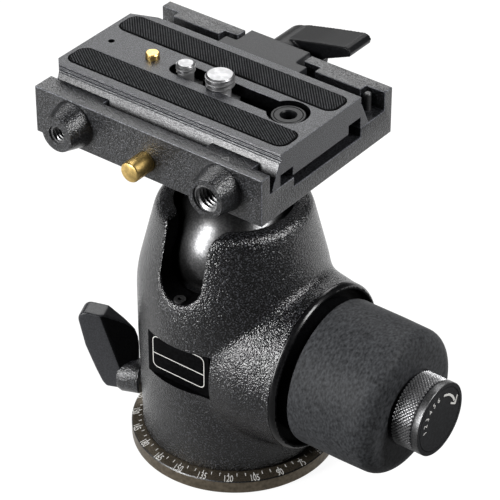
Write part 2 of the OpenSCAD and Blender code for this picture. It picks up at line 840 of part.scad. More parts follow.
module adapter_base() {
    color(coat) difference() {
        union() {
            translate([adapter_low_x, 0, 0]) rotate([90, 0, 90]) linear_extrude(adapter_l)
                adapter_section();
            at_accessory(-1) cylinder(r1 = acc_root_r, r2 = left_tip_r, h = acc_l);
            at_accessory(1) cylinder(r1 = acc_root_r, r2 = right_tip_r, h = acc_l);
        }
        at_accessory(-1) translate([0, 0, acc_l - acc_thread_l])
            cylinder(r = left_thread_r, h = acc_thread_l + past);
        at_accessory(1) translate([0, 0, acc_l - acc_thread_l])
            cylinder(r = right_thread_r, h = acc_thread_l + past);
        // Notches in the rails' lips
        rail_cut(adapter_x + rail_notch[0], adapter_x + rail_notch[1], rail_notch_y, 0);
        rail_cut(adapter_high_x - rail_end_notch, adapter_high_x + past, rail_notch_y - 0.9, 0);
        rail_cut(adapter_low_x - past, adapter_x + back_lips[0][0], 0, back_wall_y);
        rail_cut(adapter_x + back_lips[0][1], adapter_x + back_lips[1][0], 0, back_wall_y);
        rail_cut(adapter_x + back_lips[1][1], adapter_high_x + past, 0, back_wall_y);
        // Room for the jaw
        translate([adapter_x - jaw_w / 2 - jaw_room, jaw_stem_y - free_gap, jaw_low - slide_gap])
            cube([jaw_w + 2 * jaw_room, adapter_back, adapter_h]);
        to_back(adapter_x, clamp_screw_tip - slide_gap, clamp_z)
            cylinder(r = clamp_screw_r + run_gap, h = adapter_back);
        at_jaw_springs() cylinder(r = jaw_spring_r + free_gap, h = jaw_spring_l + past);
        // Safety button
        to_back(adapter_x, -adapter_front - past, button_z)
            cylinder(r = button_r + run_gap, h = button_bore_end + adapter_front + past);
        to_back(adapter_x, -adapter_front, button_z)
            cylinder(r = button_stem_r + run_gap, h = button_stem_bore + adapter_front);
        translate([adapter_x - catch_r - run_gap, catch_y - catch_r - run_gap, button_z])
            cube([2 * (catch_r + run_gap), 2 * (catch_r + run_gap) + button_travel, adapter_h]);
        // Mounting bolt and stop post
        translate([0, 0, adapter_z - past]) cylinder(r = bolt_r + run_gap, h = adapter_h);
        translate([0, 0, channel_z - bolt_head_h - slide_gap])
            cylinder(r = bolt_head_r + run_gap, h = adapter_h);
        translate([post_x, post_y, floor_z - 3]) cylinder(r = post_r + run_gap / 2, h = adapter_h);
    }
}

// Outline of the adapter across its length, as y and z
module adapter_section() {
    difference() {
        translate([-adapter_front, adapter_z]) square([adapter_front + adapter_back, adapter_h]);
        polygon([
            [rail_foot, floor_z], [rail_foot, foot_top],
            [lip_front + (lip_front - rail_foot) / (rail_top - foot_top) * past, rail_top + past],
            [back_lip_y, rail_top + past], [back_lip_y, rail_top - back_lip_t],
            [back_wall_y, rail_top - back_lip_t],
            [back_wall_y, floor_z]]);
        translate([channel_front, channel_z]) square([channel_back - channel_front, adapter_h]);
    }
}

// Cuts the lips between two places on X: the front lip back to front_y, or the rear lip back to back_y
module rail_cut(low, high, front_y, back_y) {
    translate([low, back_y > 0 ? back_y - 8 : front_y, floor_z]) cube([high - low, 8, adapter_h]);
}

// Places children on an accessory boss, left or right, standing out of the front face
module at_accessory(side) {
    translate([adapter_x + side * boss_pitch, -adapter_front, acc_z]) rotate([90, 0, 0]) children();
}

module adapter_bolt() {
    head_z = channel_z - bolt_head_h;
    color(steel) difference() {
        union() {
            translate([0, 0, head_z]) cylinder(r = bolt_head_r, h = bolt_head_h - slide_gap);
            translate([0, 0, adapter_z - bolt_l]) cylinder(r = bolt_r, h = head_z - adapter_z + bolt_l);
        }
        socket(6, 2.5, channel_z - slide_gap);
    }
}

module stop_post() {
    color(dark) translate([post_x, post_y, floor_z - 3]) cylinder(r = post_r, h = post_h + 3);
}

module button_spring() {
    color(steel) to_back(adapter_x, button_head_end + slide_gap / 2, button_z)
        ring(button_r - 0.1, button_stem_r + 0.1, spring_l);
}

// Places children at the two springs in front of the jaw's stem
module at_jaw_springs() {
    for (s = [-1, 1])
        to_back(adapter_x + s * jaw_spring_pitch, jaw_stem_y - free_gap - jaw_spring_l, jaw_spring_z)
            children();
}

module jaw_springs() {
    color(steel) at_jaw_springs()
        ring(jaw_spring_r, jaw_spring_r - jaw_spring_wall, jaw_spring_l + free_gap - slide_gap);
}

// Clamp

module clamp_jaw() {
    color(coat) difference() {
        union() {
            translate([adapter_x - jaw_ear_w / 2, 0, 0]) rotate([90, 0, 90]) linear_extrude(jaw_ear_w)
                polygon([
                [plate_y + flank(foot_top) + slide_gap, plate_z],
                [plate_y + flank(foot_top) + slide_gap, foot_top],
                [plate_y + flank(rail_top) + slide_gap, rail_top], [jaw_ear_y, rail_top],
                [jaw_ear_y, plate_z]]);
            translate([adapter_x - jaw_w / 2, jaw_stem_y, jaw_low])
                cube([jaw_w, jaw_back - jaw_stem_y, rail_top - jaw_low]);
        }
        to_back(adapter_x, 0, clamp_z) cylinder(r = clamp_screw_r + run_gap, h = 2 * adapter_back);
    }
}

module clamp_lever() {
    color(coat) difference() {
        union() {
            to_back(adapter_x, clamp_hub_y, clamp_z) cylinder(r = clamp_hub_r, h = clamp_hub_l);
            translate([adapter_x, clamp_hub_y + clamp_hub_l, clamp_z]) rotate([90, 0, 0])
                linear_extrude(clamp_hub_y + clamp_hub_l - clamp_wing_y) polygon([
                    [0, clamp_hub_r], [clamp_wing_l - 2.5, clamp_hub_r + 5],
                    [clamp_wing_l - 0.5, clamp_hub_r + 4],
                    [clamp_wing_l, clamp_hub_r + 2.2], [clamp_wing_l - 1, clamp_hub_r + 1.2],
                    [0.6 * clamp_wing_l, 0.75 * clamp_hub_r], [clamp_hub_r, 0], [0, 0]]);
        }
        to_back(adapter_x, clamp_hub_y - past, clamp_z)
            cylinder(r = clamp_screw_r, h = clamp_screw_end - clamp_hub_y + past);
    }
}

module clamp_screw() {
    color(steel) to_back(adapter_x, clamp_screw_tip, clamp_z)
        cylinder(r = clamp_screw_r - run_gap / 2, h = clamp_screw_end - clamp_screw_tip);
}

// Safety button

module safety_button() {
    color(brass) difference() {
        union() {
            to_back(adapter_x, button_tip, button_z) rotate_extrude() polygon([
                [0, 0], [button_r - 0.5, 0], [button_r, 0.5], [button_r, button_head_end - button_tip],
                [0, button_head_end - button_tip]]);
            to_back(adapter_x, button_tip + 1, button_z)
                cylinder(r = button_stem_r, h = button_stem_end - button_tip - 1);
        }
        translate([adapter_x, catch_y, button_z - past]) cylinder(r = catch_r, h = 2 * button_r);
    }
}

module catch_pin() {
    color(steel) translate([adapter_x, catch_y, button_z - past + run_gap])
        cylinder(r = catch_r - run_gap / 2, h = catch_top - button_z + past - run_gap);
}

// Sliding plate

module slide_plate() {
    color(coat) difference() {
        intersection() {
            translate([adapter_low_x, plate_y, 0]) rotate([90, 0, 90]) linear_extrude(adapter_l)
                plate_section();
            translate([0, 0, plate_z - past]) linear_extrude(plate_h + 2 * past) plate_outline();
        }
        on_plate(plate_top - grip_d) grip_shapes(0)
            rounded(grip_len + 2 * grip_gap, grip_w + 2 * grip_gap, grip_corner + grip_gap);
        on_plate(plate_z - past) slot_shape(slot_low, keyhole_x, slot_w);
        on_plate(plate_z - past, lip_z - plate_z + past) slot_shape(slot_low, lower_slot_end, lower_slot_w);
        on_plate(plate_top - keyhole_d) translate([keyhole_x, 0]) circle(r = keyhole_r);
        // Video pin and small hole
        on_plate(plate_z) translate([pin_x, 0]) circle(r = pin_r + run_gap);
        on_plate(plate_z - past, pin_shoulder_z - plate_z + past) translate([pin_x, 0])
            circle(r = pin_flange_r + run_gap);
        on_plate(plate_top - 4) translate([hole_x, 0]) circle(r = hole_r);
    }
}

grip_len = adapter_l - 2 * grip_end_gap;

// Extrudes a flat shape on the plate's middle line from a height, up past the top or by a length
module on_plate(z, length = 0) {
    translate([0, plate_y, z]) linear_extrude(length > 0 ? length : plate_top - z + past) children();
}

// Places children at both grips, or at one side alone
module grip_shapes(side) {
    for (s = side == 0 ? [-1, 1] : [side]) translate([adapter_x, s * grip_mid]) children();
}

// Outline of the plate across its length, about its middle
module plate_section() {
    difference() {
        polygon([
            [-plate_foot_w / 2, plate_z], [plate_foot_w / 2, plate_z], [plate_foot_w / 2, foot_top],
            [flank_w / 2, flank_top], [plate_w / 2, flank_top + 0.4], [plate_w / 2, plate_top],
            [-plate_w / 2, plate_top], [-plate_w / 2, flank_top + 0.4], [-flank_w / 2, flank_top],
            [-plate_foot_w / 2, foot_top]]);
        for (s = [-1, 1]) translate([s < 0 ? -undercut_out : undercut_in, plate_z - past])
            square([undercut_out - undercut_in, undercut_top - plate_z + past]);
        translate([-undercut_in - past, plate_z - past])
            square([2 * (undercut_in + past), plate_body_z - plate_z + past]);
        for (i = [0, 1]) translate([-plate_w / 2 - past, plate_top - 1.1 - 1.3 * i])
            square([past + groove_w, groove_w]);
    }
}

// Outline of the plate from above, with its cut corners at the left
module plate_outline() {
    low = adapter_low_x;
    half = plate_foot_w / 2 + past;
    back = plate_y + plate_w / 2;
    front = plate_y - plate_w / 2;
    polygon([
        [low, front + plate_corner], [low + plate_corner, front], [low + plate_corner, plate_y - half],
        [adapter_high_x, plate_y - half], [adapter_high_x, plate_y + half],
        [low + plate_chamfer[0], plate_y + half], [low + plate_chamfer[0], back],
        [low, back - plate_chamfer[1]]]);
}

module front_grip() {
    color(rubber) grip(-1);
}

module rear_grip() {
    color(rubber) grip(1);
}

// Ribbed rubber grip, let into the plate
module grip(side) {
    translate([0, plate_y, plate_top - grip_d]) linear_extrude(grip_d + grip_proud)
        grip_shapes(side) rounded(grip_len, grip_w, grip_corner);
}

module keyhole_bush() {
    color(coat) translate([keyhole_x, plate_y, plate_top - keyhole_d]) ring(bush_r, bush_hole_r, bush_h);
}

module plate_stops() {
    color(steel) for (s = [-1, 1]) translate([adapter_x + s * stop_pitch, stop_y, plate_body_z])
        cylinder(r = stop_r, h = undercut_top - plate_body_z);
}

module pin_spring() {
    z = plate_body_z + pin_plug_t;
    color(steel) translate([pin_x, plate_y, z + slide_gap])
        ring(pin_flange_r - 0.1, pin_flange_r - 0.9, pin_shoulder_z - pin_flange_t - z - 3 * slide_gap);
}

module pin_plug() {
    color(steel) translate([pin_x, plate_y, plate_body_z]) cylinder(r = pin_flange_r, h = pin_plug_t);
}

module video_pin() {
    color(brass) translate([pin_x, plate_y, 0]) {
        translate([0, 0, pin_shoulder_z - pin_flange_t - slide_gap])
            cylinder(r = pin_flange_r, h = pin_flange_t);
        translate([0, 0, pin_shoulder_z - pin_flange_t - slide_gap])
            cylinder(r = pin_r, h = plate_top + pin_out - pin_shoulder_z + pin_flange_t + slide_gap);
    }
}

// Camera screws

// Screw with its head under the lips of the slot and its thread above the plate
module camera_screw(x, thread_r, neck_r, head_r, out) {
    translate([x, plate_y, 0]) difference() {
        union() {
            translate([0, 0, head_top - screw_head_t]) cylinder(r = head_r, h = screw_head_t);
            translate([0, 0, head_top - screw_head_t])
                cylinder(r = neck_r, h = plate_top - head_top + screw_head_t + 1);
            translate([0, 0, plate_top + thread_gap]) cylinder(r = thread_r, h = out - thread_gap);
        }
        translate([-head_r - past, -0.6, head_top - screw_head_t - past])
            cube([2 * (head_r + past), 1.2, past + 1.5]);
    }
}

// Washer between a screw's head and the lips of the slot
module screw_washer(x, outer, inner) {
    translate([x, plate_y, washer_top - screw_washer_t]) ring(outer, inner + run_gap, screw_washer_t);
}

module quarter_washer() {
    color(steel) screw_washer(quarter_x, small_washer_r, small_neck_r);
}

module quarter_screw() {
    color(steel) camera_screw(quarter_x, quarter_r, small_neck_r, small_washer_r - 0.2, quarter_out);
}

module three_eighths_washer() {
    color(steel) screw_washer(three_eighths_x, large_washer_r, large_neck_r);
}

module three_eighths_screw() {
    color(steel)
        camera_screw(three_eighths_x, three_eighths_r, large_neck_r, large_washer_r - 0.2, three_eighths_out);
}

base_ring();
pan_spindle();
base_screws();
pan_washer();
thrust_washer();
retaining_nut();
housing();
collar_ring();
chamber_plug();
fill_screw();
gland_nut();
notch_screw();
label_plate();
pan_lever();
pan_screw();
pan_shoe();
ball_piston();
piston_seal();
drive_piston();
drive_seal();
lock_screw();
knob_hub();
knob_grip();
knob_set_screws();
friction_spring();
friction_knob();
friction_shaft();
friction_cap();
seat_liner();
ball();
adapter_base();
adapter_bolt();
stop_post();
button_spring();
jaw_springs();
clamp_jaw();
clamp_lever();
clamp_screw();
safety_button();
catch_pin();
slide_plate();
front_grip();
rear_grip();
keyhole_bush();
plate_stops();
pin_spring();
pin_plug();
quarter_washer();
quarter_screw();
three_eighths_washer();
three_eighths_screw();
video_pin();
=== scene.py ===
"""Ball head with a sliding camera plate, modelled and finished over its CAD frame."""

import json
import math

import bpy
from mathutils import Matrix, Vector


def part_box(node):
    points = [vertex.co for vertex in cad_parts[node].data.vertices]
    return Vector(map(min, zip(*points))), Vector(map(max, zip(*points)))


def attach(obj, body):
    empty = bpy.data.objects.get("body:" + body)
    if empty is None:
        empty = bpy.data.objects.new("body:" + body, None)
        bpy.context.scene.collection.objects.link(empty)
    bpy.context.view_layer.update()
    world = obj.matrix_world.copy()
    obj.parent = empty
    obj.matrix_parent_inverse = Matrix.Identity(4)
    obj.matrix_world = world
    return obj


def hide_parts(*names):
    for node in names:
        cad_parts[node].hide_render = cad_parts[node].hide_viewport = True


bl_info = {
    "name": "Ball head",
    "version": (1, 0, 0),
    "blender": (4, 5, 0),
    "location": "View3D > Sidebar > Ball head",
    "description": "Models and finishes a ball head with a sliding plate over its CAD frame",
    "category": "Object",
}

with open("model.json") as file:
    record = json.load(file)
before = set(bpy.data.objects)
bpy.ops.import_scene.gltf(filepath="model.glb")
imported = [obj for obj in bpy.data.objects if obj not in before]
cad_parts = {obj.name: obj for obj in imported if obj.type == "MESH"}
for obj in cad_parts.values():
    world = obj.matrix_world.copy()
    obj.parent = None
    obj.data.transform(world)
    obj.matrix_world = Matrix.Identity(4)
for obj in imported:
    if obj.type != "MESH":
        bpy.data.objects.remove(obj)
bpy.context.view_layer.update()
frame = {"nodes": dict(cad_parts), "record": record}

# Lengths in the operators are millimetres, and this turns them into Blender's metres
MM = 0.001
TURN = 2 * math.pi
MERGE = 1e-6

# Turns a shape built along Z so that it runs along X, Y or -Y
ALONG_X = Matrix.Rotation(math.radians(90), 4, "Y")
ALONG_Y = Matrix.Rotation(math.radians(-90), 4, "X")
TO_FRONT = Matrix.Rotation(math.radians(90), 4, "X")


def corners(node):
    """Lowest and highest corner of a CAD node, in millimetres."""
    low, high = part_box(node)
    return low / MM, high / MM


def middle(node):
    """Middle of a CAD node's box, in millimetres."""
    low, high = corners(node)
    return (low + high) / 2


# Places that several pieces share
BALL_R = corners("ball")[1].x
BALL_Z = corners("ball")[0].z + BALL_R
KNOB_Z = middle("knob_grip").z
PLATE_TOP = corners("slide_plate")[1].z
PLATE_Y = middle("keyhole_bush").y
PAN_ANGLE = math.radians(202.5)

# Axes of the adapter's threaded bosses
BOSS_Z = 122.5
LEFT_BOSS_X = -40.1
RIGHT_BOSS_X = 19.1

# Radius and pitch of the two camera threads, and the play in their holes
QUARTER_INCH = (3.175, 1.27)
THREE_EIGHTHS_INCH = (4.7625, 1.5875)
THREAD_PLAY = 0.1


# Modelling helpers


def mm(x, y, z):
    """A place in metres from millimetres."""
    return Vector((x, y, z)) * MM


def at(x, y, z):
    """A move to a place in millimetres."""
    return Matrix.Translation(mm(x, y, z))


# Puts a shape built along Z on the axis of the lock knob
ON_KNOB_AXIS = at(0, 0, KNOB_Z) @ ALONG_X


def deselect():
    """Goes to object mode with nothing selected."""
    if bpy.context.mode != "OBJECT":
        bpy.ops.object.mode_set(mode="OBJECT")
    bpy.ops.object.select_all(action="DESELECT")


def pick(piece):
    """Makes one piece the selected and active object."""
    deselect()
    piece.select_set(True)
    bpy.context.view_layer.objects.active = piece
    return piece


def edit(piece):
    """Opens a piece in edit mode with all of it selected."""
    pick(piece)
    bpy.ops.object.mode_set(mode="EDIT")
    bpy.ops.mesh.select_all(action="SELECT")


def close_edit():
    """Merges doubles, points faces outwards and goes back to object mode."""
    bpy.ops.mesh.select_all(action="SELECT")
    bpy.ops.mesh.remove_doubles(threshold=MERGE)
    bpy.ops.mesh.normals_make_consistent(inside=False)
    bpy.ops.object.mode_set(mode="OBJECT")


def trace(name, points):
    """Draws a line through points by extruding one vertex, and stays in edit mode."""
    deselect()
    bpy.ops.mesh.primitive_plane_add(size=MM)
    piece = bpy.context.object
    piece.name = name
    piece.data.name = name
    bpy.ops.object.mode_set(mode="EDIT")
    bpy.ops.mesh.merge(type="CENTER")
    places = [mm(*point) for point in points]
    bpy.ops.transform.translate(value=places[0])
    for here, there in zip(places, places[1:]):
        bpy.ops.mesh.extrude_vertices_move(TRANSFORM_OT_translate={"value": there - here})
    return piece


def lathe(name, profile, steps=96, angle=TURN):
    """Spins a line of radius and height pairs about Z."""
    piece = trace(name, [(radius, 0, height) for radius, height in profile])
    bpy.ops.mesh.select_all(action="SELECT")
    bpy.ops.mesh.spin(steps=steps, angle=angle, center=(0, 0, 0), axis=(0, 0, 1))
    close_edit()
    return piece


def bar(name, outline, depth):
    """Fills a closed outline and extrudes it by a depth vector in millimetres."""
    piece = trace(name, outline)
    bpy.ops.mesh.select_all(action="SELECT")
    bpy.ops.mesh.edge_face_add()
    bpy.ops.mesh.extrude_region_move(TRANSFORM_OT_translate={"value": mm(*depth)})
    close_edit()
    return piece


def hollow(name, outline, width, depth):
    """Makes a band along the inside of a closed outline, and extrudes it by a depth vector."""
    piece = trace(name, outline)
    bpy.ops.mesh.select_all(action="SELECT")
    bpy.ops.mesh.edge_face_add()
    bpy.ops.mesh.inset(thickness=width * MM)
    bpy.ops.mesh.delete(type="FACE")
    bpy.ops.mesh.select_all(action="SELECT")
    bpy.ops.mesh.extrude_region_move(TRANSFORM_OT_translate={"value": mm(*depth)})
    close_edit()
    return piece


def ring_of(count):
    """Repeats what is selected in edit mode evenly about Z."""
    angle = TURN * (count - 1) / count
    bpy.ops.mesh.spin(steps=count - 1, dupli=True, angle=angle, center=(0, 0, 0), axis=(0, 0, 1))


def arc(x, y, radius, start, end, steps=6):
    """Points of an arc in degrees, ends included."""
    turns = [math.radians(start + (end - start) * i / steps) for i in range(steps + 1)]
    return [(x + radius * math.cos(t), y + radius * math.sin(t)) for t in turns]


def rounded(x0, y0, x1, y1, radius):
    """Outline of a rectangle with round corners."""
    return (
        arc(x1 - radius, y0 + radius, radius, -90, 0)
        + arc(x1 - radius, y1 - radius, radius, 0, 90)
        + arc(x0 + radius, y1 - radius, radius, 90, 180)
        + arc(x0 + radius, y0 + radius, radius, 180, 270)
    )


def place(piece, matrix):
    """Moves a piece by a matrix and puts the move into its mesh."""
    pick(piece)
    piece.matrix_world = matrix
    bpy.ops.object.transform_apply(location=True, rotation=True, scale=True)
    return piece


def modify(piece, kind, **settings):
    """Adds a modifier and applies it."""
    pick(piece)
    bpy.ops.object.modifier_add(type=kind)
    modifier = piece.modifiers[-1]
    for key, value in settings.items():
        setattr(modifier, key, value)
    bpy.ops.object.modifier_apply(modifier=modifier.name)
    return piece


def combine(piece, tool, operation):
    """Joins, cuts or intersects a piece with a tool, which is then removed."""
    modify(piece, "BOOLEAN", operation=operation, object=tool, solver="EXACT")
    bpy.data.objects.remove(tool)
    return piece


def cut(piece, *tools):
    """Cuts each tool from a piece."""
    for tool in tools:
        combine(piece, tool, "DIFFERENCE")
    return piece


def soften(piece, voxel, rounds):
    """Rebuilds a piece on an even grid, in metres, and rounds its edges off."""
    modify(piece, "REMESH", mode="VOXEL", voxel_size=voxel, use_smooth_shade=True)
    modify(piece, "SMOOTH", factor=0.5, iterations=rounds)
    return piece


def round_edges(piece, width, segments=2, angle=35):
    """Bevels every edge sharper than an angle."""
    limit = math.radians(angle)
    modify(piece, "BEVEL", width=width * MM, segments=segments, limit_method="ANGLE", angle_limit=limit)
    return piece


def light_edges(piece, width, finish):
    """Bevels the sharp edges longer than 2 mm, and gives the bevels a lighter finish of their own as a
    painted highlight.
    """
    shortest = 2
    edit(piece)
    bpy.ops.mesh.select_mode(type="EDGE")
    bpy.ops.mesh.select_all(action="DESELECT")
    bpy.ops.mesh.edges_select_sharp(sharpness=math.radians(40))
    bpy.ops.object.mode_set(mode="OBJECT")
    for part in (*piece.data.vertices, *piece.data.polygons):
        part.select = False
    for edge in piece.data.edges:
        start, end = (piece.data.vertices[index].co / MM for index in edge.vertices)
        edge.select = edge.select and (end - start).length > shortest
    bpy.ops.object.mode_set(mode="EDIT")
    bpy.ops.mesh.bevel(
        offset=width * MM, segments=2, affect="EDGES", clamp_overlap=False, material=finish)
    bpy.ops.mesh.select_mode(type="VERT")
    bpy.ops.object.mode_set(mode="OBJECT")
    return piece


def smooth(piece, angle=35):
    """Shades a piece smooth, with sharp edges above an angle."""
    pick(piece)
    bpy.ops.object.shade_smooth_by_angle(angle=math.radians(angle))
    return piece


def numeral(value, height):
    """A flat number at the origin, as a thin mesh."""
    size_to_height, thickness = 1.35, 0.03
    deselect()
    bpy.ops.object.text_add()
    piece = bpy.context.object
    piece.data.body = str(value)
    piece.data.align_x = "CENTER"
    piece.data.align_y = "CENTER"
    piece.data.size = height * size_to_height
    piece.data.extrude = thickness * MM
    bpy.ops.object.convert(target="MESH")
    edit(piece)
    close_edit()
    return piece


def join(name, pieces):
    """Joins pieces into one."""
    deselect()
    for piece in pieces:
        piece.select_set(True)
    bpy.context.view_layer.objects.active = pieces[0]
    bpy.ops.object.join()
    pieces[0].name = name
    pieces[0].data.name = name
    return pieces[0]


def copy_node(node, name):
    """A merged copy of a CAD node's mesh."""
    deselect()
    piece = bpy.data.objects.new(name, frame["nodes"][node].data.copy())
    piece.data.name = name
    bpy.context.scene.collection.objects.link(piece)
    edit(piece)
    bpy.ops.mesh.remove_doubles(threshold=MERGE)
    bpy.ops.mesh.dissolve_degenerate(threshold=10 * MERGE)
    bpy.ops.mesh.dissolve_limited(angle_limit=math.radians(0.5))
    bpy.ops.object.mode_set(mode="OBJECT")
    return piece


def thread(name, radius, pitch, low, high):
    """A screw thread on Z, cut square at both ends."""
    depth, lead_in, steps = 0.6, 1.21, 40
    root = radius - depth * pitch
    start = low - lead_in * pitch
    # Radius and share of the pitch along one turn's profile
    line = [(root, 0), (radius, 0.35), (radius, 0.55), (root, 0.9), (root, 1)]
    piece = trace(name, [(r, 0, start + part * pitch) for r, part in line])
    bpy.ops.object.mode_set(mode="OBJECT")
    turns = math.ceil((high - start) / pitch) + 1
    modify(piece, "SCREW", axis="Z", screw_offset=pitch * MM, iterations=turns,
           steps=steps, render_steps=steps)
    for height, inner in ((low, True), (high, False)):
        edit(piece)
        bpy.ops.mesh.remove_doubles(threshold=MERGE)
        bpy.ops.mesh.bisect(
            plane_co=(0, 0, height * MM), plane_no=(0, 0, 1),
            use_fill=True, clear_inner=inner, clear_outer=not inner, threshold=MERGE,
        )
        close_edit()
    return piece


def sleeve(name, radius, pitch, length):
    """The inside thread of a hole on Z, as a thin sleeve."""
    wall, past = 0.3, 1
    piece = lathe(name, [(0, 0), (radius + wall, 0), (radius + wall, length), (0, length)], 64)
    cut(piece, thread("tool", radius, pitch, -past, length + past))
    return smooth(piece, 40)


# Materials


def node(material, kind, **inputs):
    """Adds a shader node, with a value or a link for each named input."""
    tree = material.node_tree
    made = tree.nodes.new(kind)
    for key, value in inputs.items():
        socket = made.inputs[key.replace("_", " ")]
        if isinstance(value, bpy.types.NodeSocket):
            tree.links.new(value, socket)
        else:
            socket.default_value = value
    return made


def maths(material, operation, first, second):
    """The result of a math node on two links."""
    made = material.node_tree.nodes.new("ShaderNodeMath")
    made.operation = operation
    material.node_tree.links.new(first, made.inputs[0])
    material.node_tree.links.new(second, made.inputs[1])
    return made.outputs["Value"]


def blank(name, rough, metal, gloss=0.5):
    """A material with its shader and its Object coordinates."""
    material = bpy.data.materials.new("finish_" + name)
    material.use_nodes = True
    shader = material.node_tree.nodes["Principled BSDF"]
    shader.inputs["Roughness"].default_value = rough
    shader.inputs["Metallic"].default_value = metal
    shader.inputs["Specular IOR Level"].default_value = gloss
    coords = node(material, "ShaderNodeTexCoord").outputs["Object"]
    return material, shader, coords


def tint(material, shader, pattern, dark, light, low, high):
    """Colours the shader from dark to light along a pattern."""
    ramp = node(material, "ShaderNodeValToRGB", Fac=pattern)
    ramp.color_ramp.elements[0].position = low
    ramp.color_ramp.elements[0].color = (*dark, 1)
    ramp.color_ramp.elements[1].position = high
    ramp.color_ramp.elements[1].color = (*light, 1)
    material.node_tree.links.new(ramp.outputs["Color"], shader.inputs["Base Color"])


def emboss(material, shader, pattern, strength, height):
    """Raises the surface along a pattern."""
    bump = node(material, "ShaderNodeBump", Height=pattern, Strength=strength, Distance=height * MM)
    material.node_tree.links.new(bump.outputs["Normal"], shader.inputs["Normal"])


def grained(name, dark, light, grain, rough, metal=0.0, height=0.2, strength=0.6, low=0.42, high=0.62,
            stretch=(1, 1, 1), detail=3.0, gloss=0.5):
    """A surface of fine grains, with the grain's size in millimetres."""
    material, shader, coords = blank(name, rough, metal, gloss)
    scaled = node(material, "ShaderNodeMapping", Vector=coords, Scale=stretch)
    noise = node(
        material, "ShaderNodeTexNoise", Vector=scaled.outputs["Vector"],
        Scale=1 / (grain * MM), Detail=detail)
    tint(material, shader, noise.outputs["Fac"], dark, light, low, high)
    emboss(material, shader, noise.outputs["Fac"], strength, height)
    return material


def turned(name, dark, light, pitch, rough, metal, height):
    """A surface with fine bands along Z, with their pitch in millimetres."""
    material, shader, coords = blank(name, rough, metal)
    wave = node(
        material, "ShaderNodeTexWave", Vector=coords, Scale=0.05 / (pitch * MM), Distortion=1.5, Detail=2.0)
    wave.wave_type = "BANDS"
    wave.bands_direction = "Z"
    noise = node(material, "ShaderNodeTexNoise", Vector=coords, Scale=700.0, Detail=3.0)
    tint(material, shader, noise.outputs["Fac"], dark, light, 0.35, 0.65)
    emboss(material, shader, wave.outputs["Fac"], 0.4, height)
    return material


def dress(piece, *names):
    """Gives a piece its materials by name."""
    piece.data.materials.clear()
    for name in names:
        piece.data.materials.append(bpy.data.materials["finish_" + name])
    return piece


def paint(piece, index, chosen):
    """Gives the faces that a test chooses another of the piece's materials."""
    for face in piece.data.polygons:
        if chosen(face.center / MM, face.normal):
            face.material_index = index


def settle(piece, body, slot, *nodes):
    """Puts a finished piece on its body, and hides the CAD nodes that it replaces; the slot is not used."""
    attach(piece, body)
    if nodes:
        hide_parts(*nodes)
    return piece


# Properties


class BallHeadSizes(bpy.types.PropertyGroup):
    """Sizes that the operators share"""

    coat_grid: bpy.props.FloatProperty(
        name="Coat grid", description="Mesh size of the coated housing",
        default=0.0007, min=0.0004, unit="LENGTH", subtype="DISTANCE")
    cast_grid: bpy.props.FloatProperty(
        name="Cast grid", description="Mesh size of the cast jaw before it is refined",
        default=0.0005, min=0.0003, unit="LENGTH", subtype="DISTANCE")
    lever_grid: bpy.props.FloatProperty(
        name="Lever grid", description="Mesh size of the moulded levers",
        default=0.0003, min=0.0002, unit="LENGTH", subtype="DISTANCE")
    numeral_height: bpy.props.FloatProperty(
        name="Numeral height", description="Height of the numbers on the degree scale",
        default=0.0027, min=0.001, unit="LENGTH", subtype="DISTANCE")
    dial_zero: bpy.props.FloatProperty(
        name="Dial zero", description="Angle of the scale's zero about the pan axis",
        default=math.radians(63.7), unit="ROTATION", subtype="ANGLE")
    rib_pitch: bpy.props.FloatProperty(
        name="Rib pitch", description="Distance between the ribs of the rubber grips",
        default=0.0008, min=0.0005, unit="LENGTH", subtype="DISTANCE")
    knurl_count: bpy.props.IntProperty(
        name="Knurl count", description="Points around the friction knob", default=60, min=24)


class BallHeadColours(bpy.types.PropertyGroup):
    """Colours that the finishes start from"""

    coat: bpy.props.FloatVectorProperty(
        name="Coat", description="Wrinkle coat of the housing",
        default=(0.03, 0.031, 0.035), subtype="COLOR", size=3, min=0, max=1)
    bronze: bpy.props.FloatVectorProperty(
        name="Bronze", description="Anodised base ring",
        default=(0.15, 0.125, 0.092), subtype="COLOR", size=3, min=0, max=1)
    rubber: bpy.props.FloatVectorProperty(
        name="Rubber", description="Knob and plate grips",
        default=(0.028, 0.029, 0.031), subtype="COLOR", size=3, min=0, max=1)
    brass: bpy.props.FloatVectorProperty(
        name="Brass", description="Safety button and video pin",
        default=(0.78, 0.55, 0.2), subtype="COLOR", size=3, min=0, max=1)
    bright: bpy.props.FloatVectorProperty(
        name="Bright metal", description="Screws, ball and machined edges",
        default=(0.62, 0.62, 0.63), subtype="COLOR", size=3, min=0, max=1)


def shade(colour, factor):
    """A colour made lighter or darker."""
    return tuple(min(1.0, part * factor) for part in colour)


# Operators


